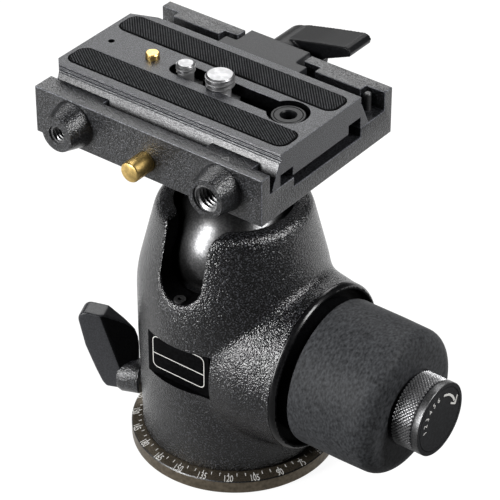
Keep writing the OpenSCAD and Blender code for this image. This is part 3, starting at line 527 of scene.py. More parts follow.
class BALLHEAD_OT_finishes(bpy.types.Operator):
    """Makes the procedural materials"""

    bl_idname = "ballhead.finishes"
    bl_label = "Finishes"

    def execute(self, context):
        hue = context.scene.ballhead_colours
        coat, bronze, rubber, brass, bright = hue.coat, hue.bronze, hue.rubber, hue.brass, hue.bright
        grained("coat", shade(coat, 0.02), shade(coat, 1.3), 0.5, 0.25, height=0.29, strength=1.0,
                low=0.49, high=0.72, detail=0.5, gloss=0.8)
        grained("cast", shade(coat, 0.05), shade(coat, 1.7), 0.42, 0.3, height=0.19, strength=1.0,
                low=0.48, high=0.7, detail=0.5, gloss=0.75)
        # Lighter copy of the cast finish for the adapter's bevels: a painted highlight along its edges
        grained("cast_edge_painted_highlight", shade(coat, 1.5), shade(coat, 6.0), 0.5, 0.36, height=0.05)
        grained("anodised", shade(coat, 0.3), shade(coat, 2.4), 0.34, 0.36, metal=0.3, height=0.12,
                strength=1.0, detail=1.0, gloss=0.7)
        # Lighter copy of the anodised finish for the plate's bevels: a painted highlight along its edges
        grained("plate_edge_painted_highlight", shade(coat, 2.5), shade(coat, 8.0), 0.6, 0.32, metal=0.3, height=0.03)
        grained("black_plastic", shade(coat, 0.06), shade(coat, 0.2), 0.4, 0.45, height=0.03, gloss=0.08)
        grained("satin", shade(coat, 0.6), shade(coat, 1.2), 0.4, 0.36, height=0.04, gloss=0.4)
        grained("jaw_satin", shade(coat, 0.35), shade(coat, 0.8), 0.4, 0.42, height=0.05, gloss=0.3)
        grained("moulded", shade(coat, 0.12), shade(coat, 0.3), 0.4, 0.36, height=0.03, gloss=0.18)
        grained("rubber", shade(rubber, 0.4), shade(rubber, 2.6), 1.2, 0.55, height=0.12, strength=0.4,
                low=0.25, high=0.8, stretch=(1.6, 1, 1), detail=6.0, gloss=0.1)
        turned("ring_bronze", shade(bronze, 0.8), shade(bronze, 1.3), 0.12, 0.36, 0.85, 0.01)
        # Darker copy of the bronze for the ring's top land: painted shade, standing in for the dark
        # surroundings that the land reflects
        grained("ring_land_painted_shade", shade(bronze, 0.6), shade(bronze, 0.95), 0.5, 0.4, metal=0.7, height=0.01)
        grained("steel", shade(bright, 0.6), shade(bright, 0.8), 0.4, 0.35, metal=1.0, height=0.02)
        grained("chrome", shade(bright, 0.7), shade(bright, 0.9), 2.0, 0.5, metal=0.85, height=0.01,
                strength=0.2)
        grained("ball_metal", shade(bright, 0.17), shade(bright, 0.27), 0.6, 0.3, metal=1.0, height=0.02)
        grained("brass", shade(brass, 0.85), shade(brass, 1.15), 1.2, 0.36, metal=1.0, height=0.02,
                strength=0.3)
        grained("knurl", shade(bright, 0.4), shade(bright, 0.7), 0.5, 0.42, metal=0.9, height=0.03)
        grained("knob_band", shade(bright, 0.14), shade(bright, 0.24), 0.5, 0.4, metal=0.9, height=0.02)
        grained("cap_black", shade(coat, 0.25), shade(coat, 0.5), 0.8, 0.5, height=0.01,
                strength=0.2, gloss=0.1)
        # Near-black finish: the label's own black and its pocket, and painted shade in the housing's notch
        # and knob pocket, the plate's slot and round the grips' ribs
        grained("label_black_and_painted_shade", shade(coat, 0.04), shade(coat, 0.12), 0.8, 0.6, height=0.01,
                strength=0.2, gloss=0.03)
        grained("bead_black", shade(coat, 0.06), shade(coat, 0.16), 0.8, 0.24, height=0.01, strength=0.2)
        grained("white_plastic", (0.7, 0.7, 0.69), (0.78, 0.78, 0.77), 0.8, 0.5, height=0.02)
        grained("paint_white", (0.72, 0.71, 0.68), (0.85, 0.84, 0.81), 0.3, 0.5, height=0.01)
        grained("bare_metal", shade(bright, 0.3), shade(bright, 0.6), 0.5, 0.38, metal=0.9, height=0.03)
        grained("dark_metal", shade(bright, 0.06), shade(bright, 0.11), 0.4, 0.4, metal=0.5, height=0.03)
        grained("machined", shade(bright, 0.08), shade(bright, 0.2), 0.3, 0.4, metal=1.0, height=0.03,
                stretch=(0.6, 1, 1))
        grained("mark_grey", (0.1, 0.1, 0.1), (0.22, 0.22, 0.22), 0.3, 0.5, height=0.01)
        return {"FINISHED"}


class BALLHEAD_OT_base_ring(bpy.types.Operator):
    """Turned ring with its degree scale"""

    bl_idname = "ballhead.base_ring"
    bl_label = "Base ring"

    def execute(self, context):
        sizes = context.scene.ballhead_sizes
        outer = corners("base_ring")[1].x
        inner = corners("pan_spindle")[1].x + 0.05
        land = corners("housing")[0].z - 0.2
        edge, bevel = 5.0, 0.3
        slope_in = 31.5
        recess_r, recess_z = 14.05, 3.05
        slope = (land - edge) / (outer - bevel - slope_in)
        ring = lathe("base_ring_turned", [
            (inner, 0), (outer - 0.5, 0), (outer, 0.5), (outer, edge - 0.35), (outer - bevel, edge),
            (slope_in, land), (recess_r, land), (recess_r, recess_z), (inner, recess_z), (inner, 0)], 180)
        dress(smooth(ring, 25), "ring_bronze", "machined", "ring_land_painted_shade")
        paint(ring, 1, lambda c, n: (
            c.z > edge - 0.4 and 0.3 < n.z < 0.95 and math.hypot(c.x, c.y) > outer - 0.4))
        # The upward faces of the land get the darker bronze as painted shade
        paint(ring, 2, lambda c, n: n.z > 0.9 and c.z > edge - 0.1)
        settle(ring, "base", "ring_bronze", "base_ring")

        def height(radius):
            return edge + (outer - bevel - radius) * slope

        zero = sizes.dial_zero
        tick_count, tick_in, tick_out, sunk = 72, 31.9, 33.0, 0.03
        low_in, low_out = height(tick_in) - sunk, height(tick_out) - sunk
        tick = bar("scale_ticks", [
            (tick_in, -0.13, low_in), (tick_out, -0.1, low_out),
            (tick_out, 0.1, low_out), (tick_in, 0.13, low_in)], (0, 0, 0.07))
        place(tick, Matrix.Rotation(zero, 4, "Z"))
        edit(tick)
        ring_of(tick_count)
        bpy.ops.object.mode_set(mode="OBJECT")
        settle(dress(tick, "paint_white"), "base", "ring_bronze")

        numerals = []
        middle_r, step = 34.05, 15
        outward = Matrix.Rotation(math.radians(90), 4, "Z")
        tilt = Matrix.Rotation(math.atan(slope), 4, "X")
        narrow = Matrix.Diagonal((0.62, 1, 1, 1))
        for degrees in range(0, 360, step):
            text = numeral(min(degrees, 360 - degrees), sizes.numeral_height)
            spot = Matrix.Rotation(zero - math.radians(degrees), 4, "Z") @ at(middle_r, 0, height(middle_r))
            numerals.append(place(text, spot @ outward @ tilt @ narrow))
        settle(dress(join("scale_numerals", numerals), "paint_white"), "base", "ring_bronze")
        return {"FINISHED"}


class BALLHEAD_OT_housing(bpy.types.Operator):
    """Coated housing with the knob's boss, the notch and the label's pocket"""

    bl_idname = "ballhead.housing"
    bl_label = "Housing"

    def execute(self, context):
        sizes = context.scene.ballhead_sizes
        low, high = corners("housing")
        rim, boss_end = high.z, high.x
        foot_r, waist_r, rim_r = 31.4, 32.2, 25.4
        boss_r, pocket_r = 29.2, 27.2
        swell, swell_start, swell_end = 1.8, 22, 34

        def boss_radius(x):
            return boss_r + swell * min(1, max(0, (swell_end - x) / (swell_end - swell_start)))

        body = lathe("housing_coated", [
            (0, low.z), (foot_r, low.z), (foot_r, 12), (waist_r, 45), (waist_r, 62), (32.05, 65),
            (31.75, 67.6), (31.1, 71), (rim_r + 0.7, rim - 3.8), (rim_r - 0.1, rim - 1.8),
            (rim_r - 1.5, rim - 0.5), (rim_r - 3.2, rim), (0, rim)], 160)
        boss = lathe("boss", [
            (0, 0), (boss_radius(0), 0), (boss_radius(swell_start), swell_start), (boss_r, swell_end),
            (boss_r, boss_end - 1.4), (boss_r - 0.5, boss_end - 0.45), (boss_r - 1.5, boss_end),
            (0, boss_end)], 160)
        combine(body, place(boss, ON_KNOB_AXIS), "UNION")
        seat = BALL_R + 1.8
        cavity = lathe("cavity", [
            (0, 5), (28.7, 5), (28.7, 7.1), (14.1, 7.1), (14.1, 25), (17.5, 25), (17.5, 32.7), (20, 32.7),
            (20, 65)]
            + arc(0, BALL_Z, seat, -32, 10) + [(BALL_R + 0.4, 83.9), (21.5, 84.3), (20.4, 87.2)]
            + [(19.4, rim + 0.2), (19.4, rim + 3), (0, rim + 3)], 128)
        pocket = lathe("pocket", [
            (0, 15), (8.4, 15), (8.4, 32), (12, 32), (12, 34), (pocket_r, 34), (pocket_r, boss_end + 2),
            (0, boss_end + 2)], 128)
        half = 8.2
        flare = [
            (half, rim - 5), (half + 0.4, rim - 2.2), (half + 1.4, rim - 0.6), (half + 3, rim),
            (half + 3, rim + 3)]
        outline = arc(0, BALL_Z, half, -180, 0, 24) + flare + [(-x, z) for x, z in reversed(flare)]
        notch = bar("notch", [(x, 0, z) for x, z in outline], (0, -45, 0))
        label_low, label_high = corners("label_plate")
        shelf, label_half, room = label_high.y, 13.2, 0.3
        label = bar("label", [
            (-label_half, shelf, label_low.z - room), (label_half, shelf, label_low.z - room),
            (label_half, shelf, label_high.z + room), (-label_half, shelf, label_high.z + room)], (0, -8, 0))
        cut(body, cavity, place(pocket, ON_KNOB_AXIS), notch)
        soften(body, sizes.coat_grid, 3)

        fillet_r = 4
        group = body.vertex_groups.new(name="fillet")
        for vertex in body.data.vertices:
            x, y, z = vertex.co / MM
            off_boss = abs(math.hypot(y, z - KNOB_Z) - boss_radius(x))
            off_body = abs(math.hypot(x, y) - waist_r)
            reach = max(off_boss, off_body) / fillet_r
            if x > 6 and reach < 1 and math.hypot(x, y) > 29:
                group.add([vertex.index], min(1, 2 * (1 - reach)), "REPLACE")
        modify(body, "SMOOTH", factor=0.5, iterations=60, vertex_group="fillet")
        bead = boss_end - 2.2
        groove = lathe("groove", [
            (boss_r - 0.45, bead), (boss_r + 1, bead - 0.4), (boss_r + 1, bead + 0.4),
            (boss_r - 0.45, bead)], 160)
        cut(body, label, place(groove, ON_KNOB_AXIS))
        dress(smooth(body, 40), "coat", "label_black_and_painted_shade", "bead_black")
        paint(body, 2, lambda c, n: c.x > bead - 0.25)
        # The notch's side walls and the inside of the mouth get the near-black finish as painted shade
        paint(body, 1, lambda c, n: 48 < c.z < rim - 1.2 and math.hypot(c.x, c.y) < 31 and c.x < 20
              and n.xy.dot(c.xy.normalized()) < 0.1)
        # The label's pocket gets the same near-black finish as the label
        paint(body, 1, lambda c, n: shelf - 6 < c.y < shelf + 0.1 and abs(c.x) < label_half + 0.1 and (
            abs(n.z) > 0.95 or n.y < -0.999 and c.y > shelf - 0.1 or abs(n.x) > 0.95)
            and label_low.z - 0.4 < c.z < label_high.z + 0.4)
        # The boss's end face and the pocket round the knob get the near-black finish as painted shade
        paint(body, 1, lambda c, n: c.x > boss_end - 0.35 and n.x > 0.9)
        paint(body, 1, lambda c, n: c.x > 33.5 and math.hypot(c.y, c.z - KNOB_Z) < boss_r - 1.2)
        settle(body, "housing", "coat", "housing", "collar_ring")
        return {"FINISHED"}


class BALLHEAD_OT_label(bpy.types.Operator):
    """Blank name plate with a printed frame"""

    bl_idname = "ballhead.label"
    bl_label = "Label"

    def execute(self, context):
        low, high = corners("label_plate")
        face = low.y
        outline = rounded(low.x, low.z, high.x, high.z, 0.8)
        plate = bar("label_blank", [(x, high.y, z) for x, z in outline], (0, face - high.y, 0))
        dress(smooth(round_edges(plate, 0.1)), "label_black_and_painted_shade")
        settle(plate, "housing", "black_plastic", "label_plate")
        x_end, z_low, z_high, z_line, width = 10.7, 40.0, 52.4, 45.4, 0.26
        back, depth = face + 0.01, (0, -0.06, 0)
        outline = rounded(-x_end, z_low, x_end, z_high, 2.0)
        lines = hollow("label_lines", [(x, back, z) for x, z in outline], width, depth)
        end = x_end - width / 2
        divider = bar("divider", [
            (-end, back, z_line), (end, back, z_line), (end, back, z_line + width),
            (-end, back, z_line + width)], depth)
        settle(dress(join("label_lines", [lines, divider]), "paint_white"), "housing", "black_plastic")
        return {"FINISHED"}


class BALLHEAD_OT_pan_lever(bpy.types.Operator):
    """Moulded lever of the pan lock, with its hub"""

    bl_idname = "ballhead.pan_lever"
    bl_label = "Pan lever"

    def execute(self, context):
        sizes = context.scene.ballhead_sizes
        thick, axis_z, root = 7.4, 15.4, 34.6
        outline = [
            (root, -3.5), (root + 1, -4), (root + 10.2, -4), (root + 11.6, -2.2), (root + 13.8, 2.9),
            (root + 17.2, 12.1), *arc(root + 16.4, 22.8, 3, -5, 88), (root + 10.5, 25.4),
            (root + 4.8, 20.8), (root, 16)]
        wing = bar("pan_lever_wing", [(r, thick / 2, z) for r, z in outline], (0, -thick, 0))
        edit(wing)
        lean = math.radians(17)
        slant = Vector((math.cos(lean), -8.1 / (thick - 1.5), -math.sin(lean)))
        bpy.ops.mesh.bisect(
            plane_co=mm(root + 3.6, thick / 2, 0), plane_no=slant, use_fill=True, clear_inner=True)
        close_edit()
        round_edges(wing, 1.1, 3, 25)
        soften(wing, sizes.lever_grid, 8)
        hub = lathe("pan_lever_hub", [
            (0, 32.6), (5.6, 32.6), (6, 33), (6, 39), (5.2, 40.6), (0, 40.6)], 64)
        turn = Matrix.Rotation(PAN_ANGLE, 4, "Z") @ at(0, 0, axis_z)
        place(wing, turn)
        place(hub, turn @ ALONG_X)
        settle(dress(smooth(wing, 50), "satin", "black_plastic"), "pan_lever", "black_plastic", "pan_lever")
        # The slanted inner face, which faces away from the lamps, gets the black finish as painted shade
        facing = turn.to_3x3() @ -slant.normalized()
        paint(wing, 1, lambda c, n: n.dot(facing) > 0.93)
        settle(dress(smooth(hub, 40), "cast"), "pan_lever", "coat")
        return {"FINISHED"}


class BALLHEAD_OT_ball(bpy.types.Operator):
    """Ball with its stem and flange"""

    bl_idname = "ballhead.ball"
    bl_label = "Ball"

    def execute(self, context):
        top = corners("ball")[1].z
        stem = 7.0
        join_angle = math.degrees(math.acos((stem + 0.4) / BALL_R))
        profile = arc(0, BALL_Z, BALL_R, -90, join_angle, 48)
        neck = BALL_Z + BALL_R * math.sin(math.radians(join_angle))
        profile += [
            (stem + 0.1, neck + 0.4), (stem, neck + 1), (stem, 107), (7.4, 109), (8.4, 110.6), (10.5, 111.4),
            (14.6, 111.6), (15, 112), (15, top - 0.3), (14.7, top), (0, top)]
        ball = smooth(lathe("ball_turned", profile, 128), 30)
        settle(dress(ball, "ball_metal"), "ball", "bare_metal", "ball")
        return {"FINISHED"}


class BALLHEAD_OT_lock_knob(bpy.types.Operator):
    """Rubber grip of the lock knob"""

    bl_idname = "ballhead.lock_knob"
    bl_label = "Lock knob"

    def execute(self, context):
        low, high = corners("knob_grip")
        radius = high.y
        start, end = low.x, high.x
        hub_end = corners("knob_hub")[1].x
        bore, turn, recess_r, hole_r = 21.55, 5.2, 12.9, 9.3
        profile = [(bore, start), (radius - 0.8, start), (radius - 0.15, start + 0.4), (radius, start + 1.2)]
        profile += [(radius, start + 16), (radius - 0.2, end - turn)]
        profile += [(r, x) for x, r in reversed(arc(end - turn, radius - 0.2 - turn, turn, 0, 90, 10))]
        profile += [
            (recess_r, end), (recess_r, end - 0.4), (hole_r, end - 0.4), (hole_r, hub_end), (bore, hub_end),
            (bore, start)]
        grip = lathe("knob_rubber", profile, 144)
        place(grip, ON_KNOB_AXIS)
        settle(dress(smooth(grip, 40), "rubber"), "lock_knob", "rubber", "knob_grip")
        return {"FINISHED"}


class BALLHEAD_OT_friction_knob(bpy.types.Operator):
    """Knurled friction knob with its cap and arrow"""

    bl_idname = "ballhead.friction_knob"
    bl_label = "Friction knob"

    def execute(self, context):
        count = context.scene.ballhead_sizes.knurl_count
        low, high = corners("friction_knob")
        radius = high.y
        cap_low, cap_high = corners("friction_cap")
        start, end, band = corners("knob_grip")[1].x + 0.15, high.x, 2.6
        root = radius - 0.45
        bore, neck, cap_hole = 3.1, 9, 11.3
        core = lathe("friction_core", [
            (bore, low.x), (neck, low.x), (neck, start), (root - 0.7, start), (root, start + 0.6),
            (root, end - band), (radius - 0.1, end - 2.4), (radius, end - 2.2), (radius, end - 0.15),
            (radius - 0.15, end), (cap_hole, end), (cap_hole, cap_low.x), (bore, cap_low.x),
            (bore, low.x)], 120)
        dress(smooth(core, 30), "knurl", "cap_black", "knob_band")
        paint(core, 2, lambda c, n: c.z > end - band)
        # Between the knurl's points the core gets the black finish, as painted shade in the valleys; the end
        # face round the cap gets it too
        paint(core, 1, lambda c, n: start < c.z < end - band or n.z > 0.9 and c.z > end - 0.05)
        deselect()
        pitch = TURN * root / count
        bpy.ops.mesh.primitive_cone_add(
            vertices=4, radius1=0.47 * pitch * MM, radius2=0.16 * pitch * MM, depth=0.5 * MM,
            location=mm(root + 0.2, 0, start + 1.2), rotation=(0, math.radians(90), 0))
        knurl = bpy.context.object
        bpy.ops.object.transform_apply(location=True, rotation=True, scale=True)
        edit(knurl)
        ring_of(count)
        bpy.ops.mesh.select_all(action="SELECT")
        rows = int((end - start - 4.1) / (pitch / 2))
        for row in range(rows):
            bpy.ops.mesh.duplicate_move(TRANSFORM_OT_translate={"value": mm(0, 0, pitch / 2)})
            bpy.ops.transform.rotate(value=TURN / count / 2, orient_axis="Z", center_override=(0, 0, 0))
        bpy.ops.object.mode_set(mode="OBJECT")
        dress(knurl, "knurl", "cap_black", "knob_band")
        knob = place(join("friction_knurled", [core, knurl]), ON_KNOB_AXIS)
        settle(knob, "friction_knob", "knurl", "friction_knob")

        face = cap_high.x
        cap = lathe("friction_cap_dished", [
            (0, cap_low.x), (11.2, cap_low.x), (11.2, face - 0.2), (11.0, face), (10.4, face - 0.04),
            (0, face - 0.08)], 96)
        place(cap, ON_KNOB_AXIS)
        settle(dress(smooth(cap, 30), "cap_black"), "friction_knob", "cap_black", "friction_cap")

        radius, width, top, depth = 8.1, 0.8, face + 0.02, 0.12
        foot = top - depth
        shaft = lathe("cap_arrow", [
            (radius, foot), (radius + width, foot), (radius + width, top), (radius, top),
            (radius, foot)], 24, math.radians(-60))
        edit(shaft)
        bpy.ops.mesh.fill_holes(sides=8)
        close_edit()
        mid = radius + width / 2
        head = bar("head", [
            (mid - 1.8, 1.2, foot), (mid - 2.1, 0.6, foot), (mid - 0.2, -1.8, foot), (mid + 0.2, -1.8, foot),
            (mid + 2.1, 0.6, foot), (mid + 1.8, 1.2, foot), (mid + 0.4, -0.5, foot),
            (mid - 0.4, -0.5, foot)], (0, 0, depth))
        arrow = join("cap_arrow", [shaft, head])
        place(arrow, ON_KNOB_AXIS @ Matrix.Rotation(math.radians(108), 4, "Z"))
        settle(dress(arrow, "paint_white"), "friction_knob", "cap_black")

        numerals = []
        numeral_r, numeral_height, first, step = 8.3, 2.0, 290, 17
        inward = Matrix.Rotation(math.radians(-90), 4, "Z")
        for value in range(1, 7):
            angle = math.radians(first - step * value)
            spot = Matrix.Rotation(angle, 4, "Z") @ at(numeral_r, 0, top - 0.03) @ inward
            numerals.append(place(numeral(value, numeral_height * MM), ON_KNOB_AXIS @ spot))
        settle(dress(join("cap_numerals", numerals), "paint_white"), "friction_knob", "cap_black")
        return {"FINISHED"}


class BALLHEAD_OT_adapter(bpy.types.Operator):
    """Cast adapter with its threaded bosses and marks"""

    bl_idname = "ballhead.adapter"
    bl_label = "Adapter"

    def execute(self, context):
        adapter = copy_node("adapter_base", "adapter_cast")
        low, high = corners("adapter_base")
        dress(adapter, "cast", "cast_edge_painted_highlight")
        # The adapter's bevels get the lighter edge finish as a painted highlight
        light_edges(adapter, 0.25, 1)
        settle(smooth(adapter, 20), "adapter", "coat", "adapter_base")
        depth, sunk = 7, 0.8
        for name, x, (radius, pitch) in (
                ("left_boss_thread", LEFT_BOSS_X, QUARTER_INCH),
                ("right_boss_thread", RIGHT_BOSS_X, THREE_EIGHTHS_INCH)):
            inside = sleeve(name, radius - THREAD_PLAY, pitch, depth)
            place(inside, at(x, low.y + depth + sunk, BOSS_Z) @ TO_FRONT)
            settle(dress(inside, "bare_metal"), "adapter", "coat")
        marks = []
        triangle, line, foot, height = [(-1.5, -0.9), (1.5, -0.9), (0, 1.2)], 0.3, high.z - 0.04, 0.09
        for x, y in ((RIGHT_BOSS_X - 0.6, -27.6), (-40, 33.5)):
            outline = [(x + across, y + along, foot) for across, along in triangle]
            marks.append(hollow("mark", outline, line, (0, 0, height)))
        settle(dress(join("lock_marks", marks), "mark_grey"), "adapter", "coat")
        low, high = corners("stop_post")
        centre = (low + high) / 2
        radius = (high.x - low.x) / 2
        post = lathe("stop_post_turned", [
            (0, low.z), (radius, low.z), (radius, high.z - 0.3), (radius - 0.3, high.z), (0, high.z)], 40)
        place(post, at(centre.x, centre.y, 0))
        settle(dress(smooth(post), "dark_metal"), "adapter", "dark_metal", "stop_post")
        return {"FINISHED"}


class BALLHEAD_OT_clamp(bpy.types.Operator):
    """Clamp jaw and its lever"""

    bl_idname = "ballhead.clamp"
    bl_label = "Clamp"

    def execute(self, context):
        sizes = context.scene.ballhead_sizes
        refined = 0.8
        jaw = copy_node("clamp_jaw", "clamp_jaw_cast")
        soften(jaw, refined * sizes.cast_grid, 2)
        settle(dress(smooth(jaw, 180), "jaw_satin"), "jaw", "coat", "clamp_jaw")
        low, high = corners("clamp_lever")
        axis_x, axis_z, hub_r = -10.5, 121.2, 8.8
        wing_y = low.y + 3.4
        outline = [
            (-6, 6.4), (0, 8.8), (12, 11.6), (22.5, 13.8), (24.2, 13.4), (25, 12.2), (24.6, 10.8), (15, 6.6),
            (8.8, 0), (0, -4)]
        wing = bar("clamp_lever_moulded", [(x, wing_y, z) for x, z in outline], (0, high.y - wing_y, 0))
        edit(wing)
        slant = Vector((0.16, 0.5, 0.85))
        bpy.ops.mesh.bisect(
            plane_co=mm(12, wing_y + 4.2, 3), plane_no=slant, use_fill=True, clear_inner=True)
        close_edit()
        hub = lathe("hub", [
            (0, low.y), (hub_r - 0.5, low.y), (hub_r, low.y + 0.5), (hub_r, high.y - 1.2),
            (hub_r - 1.2, high.y), (0, high.y)], 72)
        combine(wing, place(hub, ALONG_Y), "UNION")
        soften(wing, sizes.lever_grid, 5)
        place(wing, at(axis_x, 0, axis_z))
        dress(smooth(wing, 50), "moulded", "black_plastic")
        # The slanted face under the wing gets the black finish as painted shade
        paint(wing, 1, lambda c, n: n.dot(slant.normalized()) < -0.8 and c.x > axis_x + 9)
        settle(wing, "clamp_lever", "black_plastic", "clamp_lever")
        return {"FINISHED"}


class BALLHEAD_OT_safety_button(bpy.types.Operator):
    """Brass button of the plate's catch"""

    bl_idname = "ballhead.safety_button"
    bl_label = "Safety button"

    def execute(self, context):
        low, high = corners("safety_button")
        spot = middle("safety_button")
        radius = (high.x - low.x) / 2
        length = high.y - low.y
        tail_r, tail_end = 2.2, length - 9.7
        button = lathe("safety_button_turned", [
            (0, 0), (tail_r, 0), (tail_r, tail_end), (radius, tail_end), (radius, length - 0.6),
            (radius - 0.25, length - 0.2), (radius - 0.8, length), (0, length)], 56)
        place(button, at(spot.x, high.y, spot.z) @ TO_FRONT)
        settle(dress(smooth(button, 30), "brass"), "safety_button", "brass", "safety_button")
        return {"FINISHED"}


class BALLHEAD_OT_slide_plate(bpy.types.Operator):
    """Sliding plate with its bright flank, and the bush in its keyhole"""

    bl_idname = "ballhead.slide_plate"
    bl_label = "Sliding plate"

    def execute(self, context):
        plate = copy_node("slide_plate", "slide_plate_machined")
        dress(plate, "anodised", "machined", "plate_edge_painted_highlight", "label_black_and_painted_shade")
        # The plate's bevels get the lighter edge finish as a painted highlight
        light_edges(plate, 0.16, 2)
        smooth(plate, 8)
        low, high = corners("slide_plate")
        # The slot's inside faces get the near-black finish as painted shade
        paint(plate, 3, lambda c, n: (
            abs(c.y - PLATE_Y) < 9 and c.z < PLATE_TOP - 0.3 and low.x + 3 < c.x < high.x - 3))
        flank = Vector((0, -0.91, 0.41))
        paint(plate, 1, lambda c, n: n.dot(flank) > 0.97 and c.y < PLATE_Y - 20)
        settle(plate, "plate", "coat", "slide_plate")
        low, high = corners("keyhole_bush")
        spot = middle("keyhole_bush")
        radius = (high.x - low.x) / 2
        bore, lead = 2.4, 0.4
        bush = lathe("keyhole_bush_turned", [
            (bore, low.z), (radius, low.z), (radius, high.z - 0.35), (radius - 0.35, high.z),
            (radius - 0.9, high.z), (radius - 1.1, high.z - 0.15), (radius - 1.3, high.z),
            (bore + lead, high.z), (bore, high.z - lead), (bore, low.z)], 80)
        place(bush, at(spot.x, spot.y, 0))
        settle(dress(smooth(bush, 30), "moulded"), "plate", "dark_metal", "keyhole_bush")
        return {"FINISHED"}


class BALLHEAD_OT_grips(bpy.types.Operator):
    """Ribbed rubber grips let into the plate"""

    bl_idname = "ballhead.grips"
    bl_label = "Plate grips"

    def execute(self, context):
        pitch = context.scene.ballhead_sizes.rib_pitch / MM
        half, rim, corner = 60, 0.5, 3.5
        for node_name, name, angle in (
                ("front_grip", "front_grip_ribbed", 145), ("rear_grip", "rear_grip_ribbed", 132)):
            low, high = corners(node_name)
            base = high.z - 0.3
            outline = rounded(low.x, low.y, high.x, high.y, corner)
            slab = bar(name, [(x, y, low.z) for x, y in outline], (0, 0, base - low.z))
            round_edges(slab, 0.12)
            dress(slab, "rubber", "label_black_and_painted_shade")
            # The whole slab gets the near-black finish, so the gaps between the ribs and round the grip show
            # painted shade
            paint(slab, 1, lambda c, n: True)
            rib = bar("ribs", [
                (-half, -0.4 * pitch, base - 0.1), (-half, 0.4 * pitch, base - 0.1),
                (-half, 0.1 * pitch, high.z), (-half, -0.1 * pitch, high.z)], (2 * half, 0, 0))
            count = int(2 * half / pitch)
            modify(rib, "ARRAY", count=count, use_relative_offset=False, use_constant_offset=True,
                   constant_offset_displace=mm(0, pitch, 0))
            centre = (low + high) / 2
            turn = Matrix.Rotation(math.radians(angle), 4, "Z")
            place(rib, at(centre.x, centre.y, 0) @ turn @ at(0, -pitch * count / 2, 0))
            inset = rounded(low.x + rim, low.y + rim, high.x - rim, high.y - rim, corner - rim)
            border = bar("border", [(x, y, base - 1) for x, y in inset], (0, 0, 3))
            combine(rib, border, "INTERSECT")
            dress(rib, "rubber", "label_black_and_painted_shade")
            piece = join(name, [slab, rib])
            settle(smooth(piece, 30), "plate", "rubber", node_name)
        return {"FINISHED"}


class BALLHEAD_OT_camera_screws(bpy.types.Operator):
    """Threaded camera screws and the video pin"""

    bl_idname = "ballhead.camera_screws"
    bl_label = "Camera screws"

    def execute(self, context):
        head, start = 4, PLATE_TOP + 0.3
        for node_name, (radius, pitch), neck in (
                ("quarter_screw", QUARTER_INCH, 2.625), ("three_eighths_screw", THREE_EIGHTHS_INCH, 3.5)):
            low, high = corners(node_name)
            spot = middle(node_name)
            head_r = (high.x - low.x) / 2
            body = lathe(node_name + "_body", [
                (0, low.z), (head_r, low.z), (head_r, low.z + head), (neck, low.z + head),
                (neck, start + 0.1), (0, start + 0.1)], 56)
            turns = thread(node_name + "_thread", radius, pitch, start, high.z - 0.55)
            top = lathe(node_name + "_top", [
                (0, high.z - 0.6), (radius - 0.25, high.z - 0.6), (radius - 0.2, high.z - 0.45),
                (radius - 0.75, high.z), (0, high.z)], 56)
            screw = place(join(node_name + "_threaded", [body, turns, top]), at(spot.x, spot.y, 0))
            dress(smooth(screw, 35), "chrome", "steel")
            # The thread's roots get the steel finish, a little darker than the chrome crests, as painted
            # shade in the grooves
            paint(screw, 1, lambda c, n: c.z > start and abs(n.z) < 0.95 and (
                math.hypot(c.x - spot.x, c.y - spot.y) < radius - 0.3 * pitch))
            settle(screw, node_name, "chrome", node_name)
        low, high = corners("video_pin")
        spot = middle("video_pin")
        radius, flange_r, flange_top = 2.3, (high.x - low.x) / 2, low.z + 1.5
        pin = lathe("video_pin_turned", [
            (0, low.z), (flange_r, low.z), (flange_r, flange_top), (radius, flange_top),
            (radius, high.z - 0.4), (radius - 0.35, high.z), (0, high.z)], 56)
        place(pin, at(spot.x, spot.y, 0))
        settle(dress(smooth(pin, 30), "brass"), "video_pin", "brass", "video_pin")
        return {"FINISHED"}


class BALLHEAD_OT_inner_parts(bpy.types.Operator):
    """Finishes for the CAD parts that stay as they are, and the tripod thread"""

    bl_idname = "ballhead.inner_parts"
    bl_label = "Inner parts"

    def execute(self, context):
        slots = {row["node"]: row["material_slot"] for row in frame["record"]["subparts"]}
        for name, piece in frame["nodes"].items():
            if not piece.hide_render:
                dress(piece, slots[name])
        radius, pitch = THREE_EIGHTHS_INCH
        inside = sleeve("tripod_thread", radius - THREAD_PLAY, pitch, 9)
        settle(dress(inside, "steel"), "base", "steel")
        return {"FINISHED"}


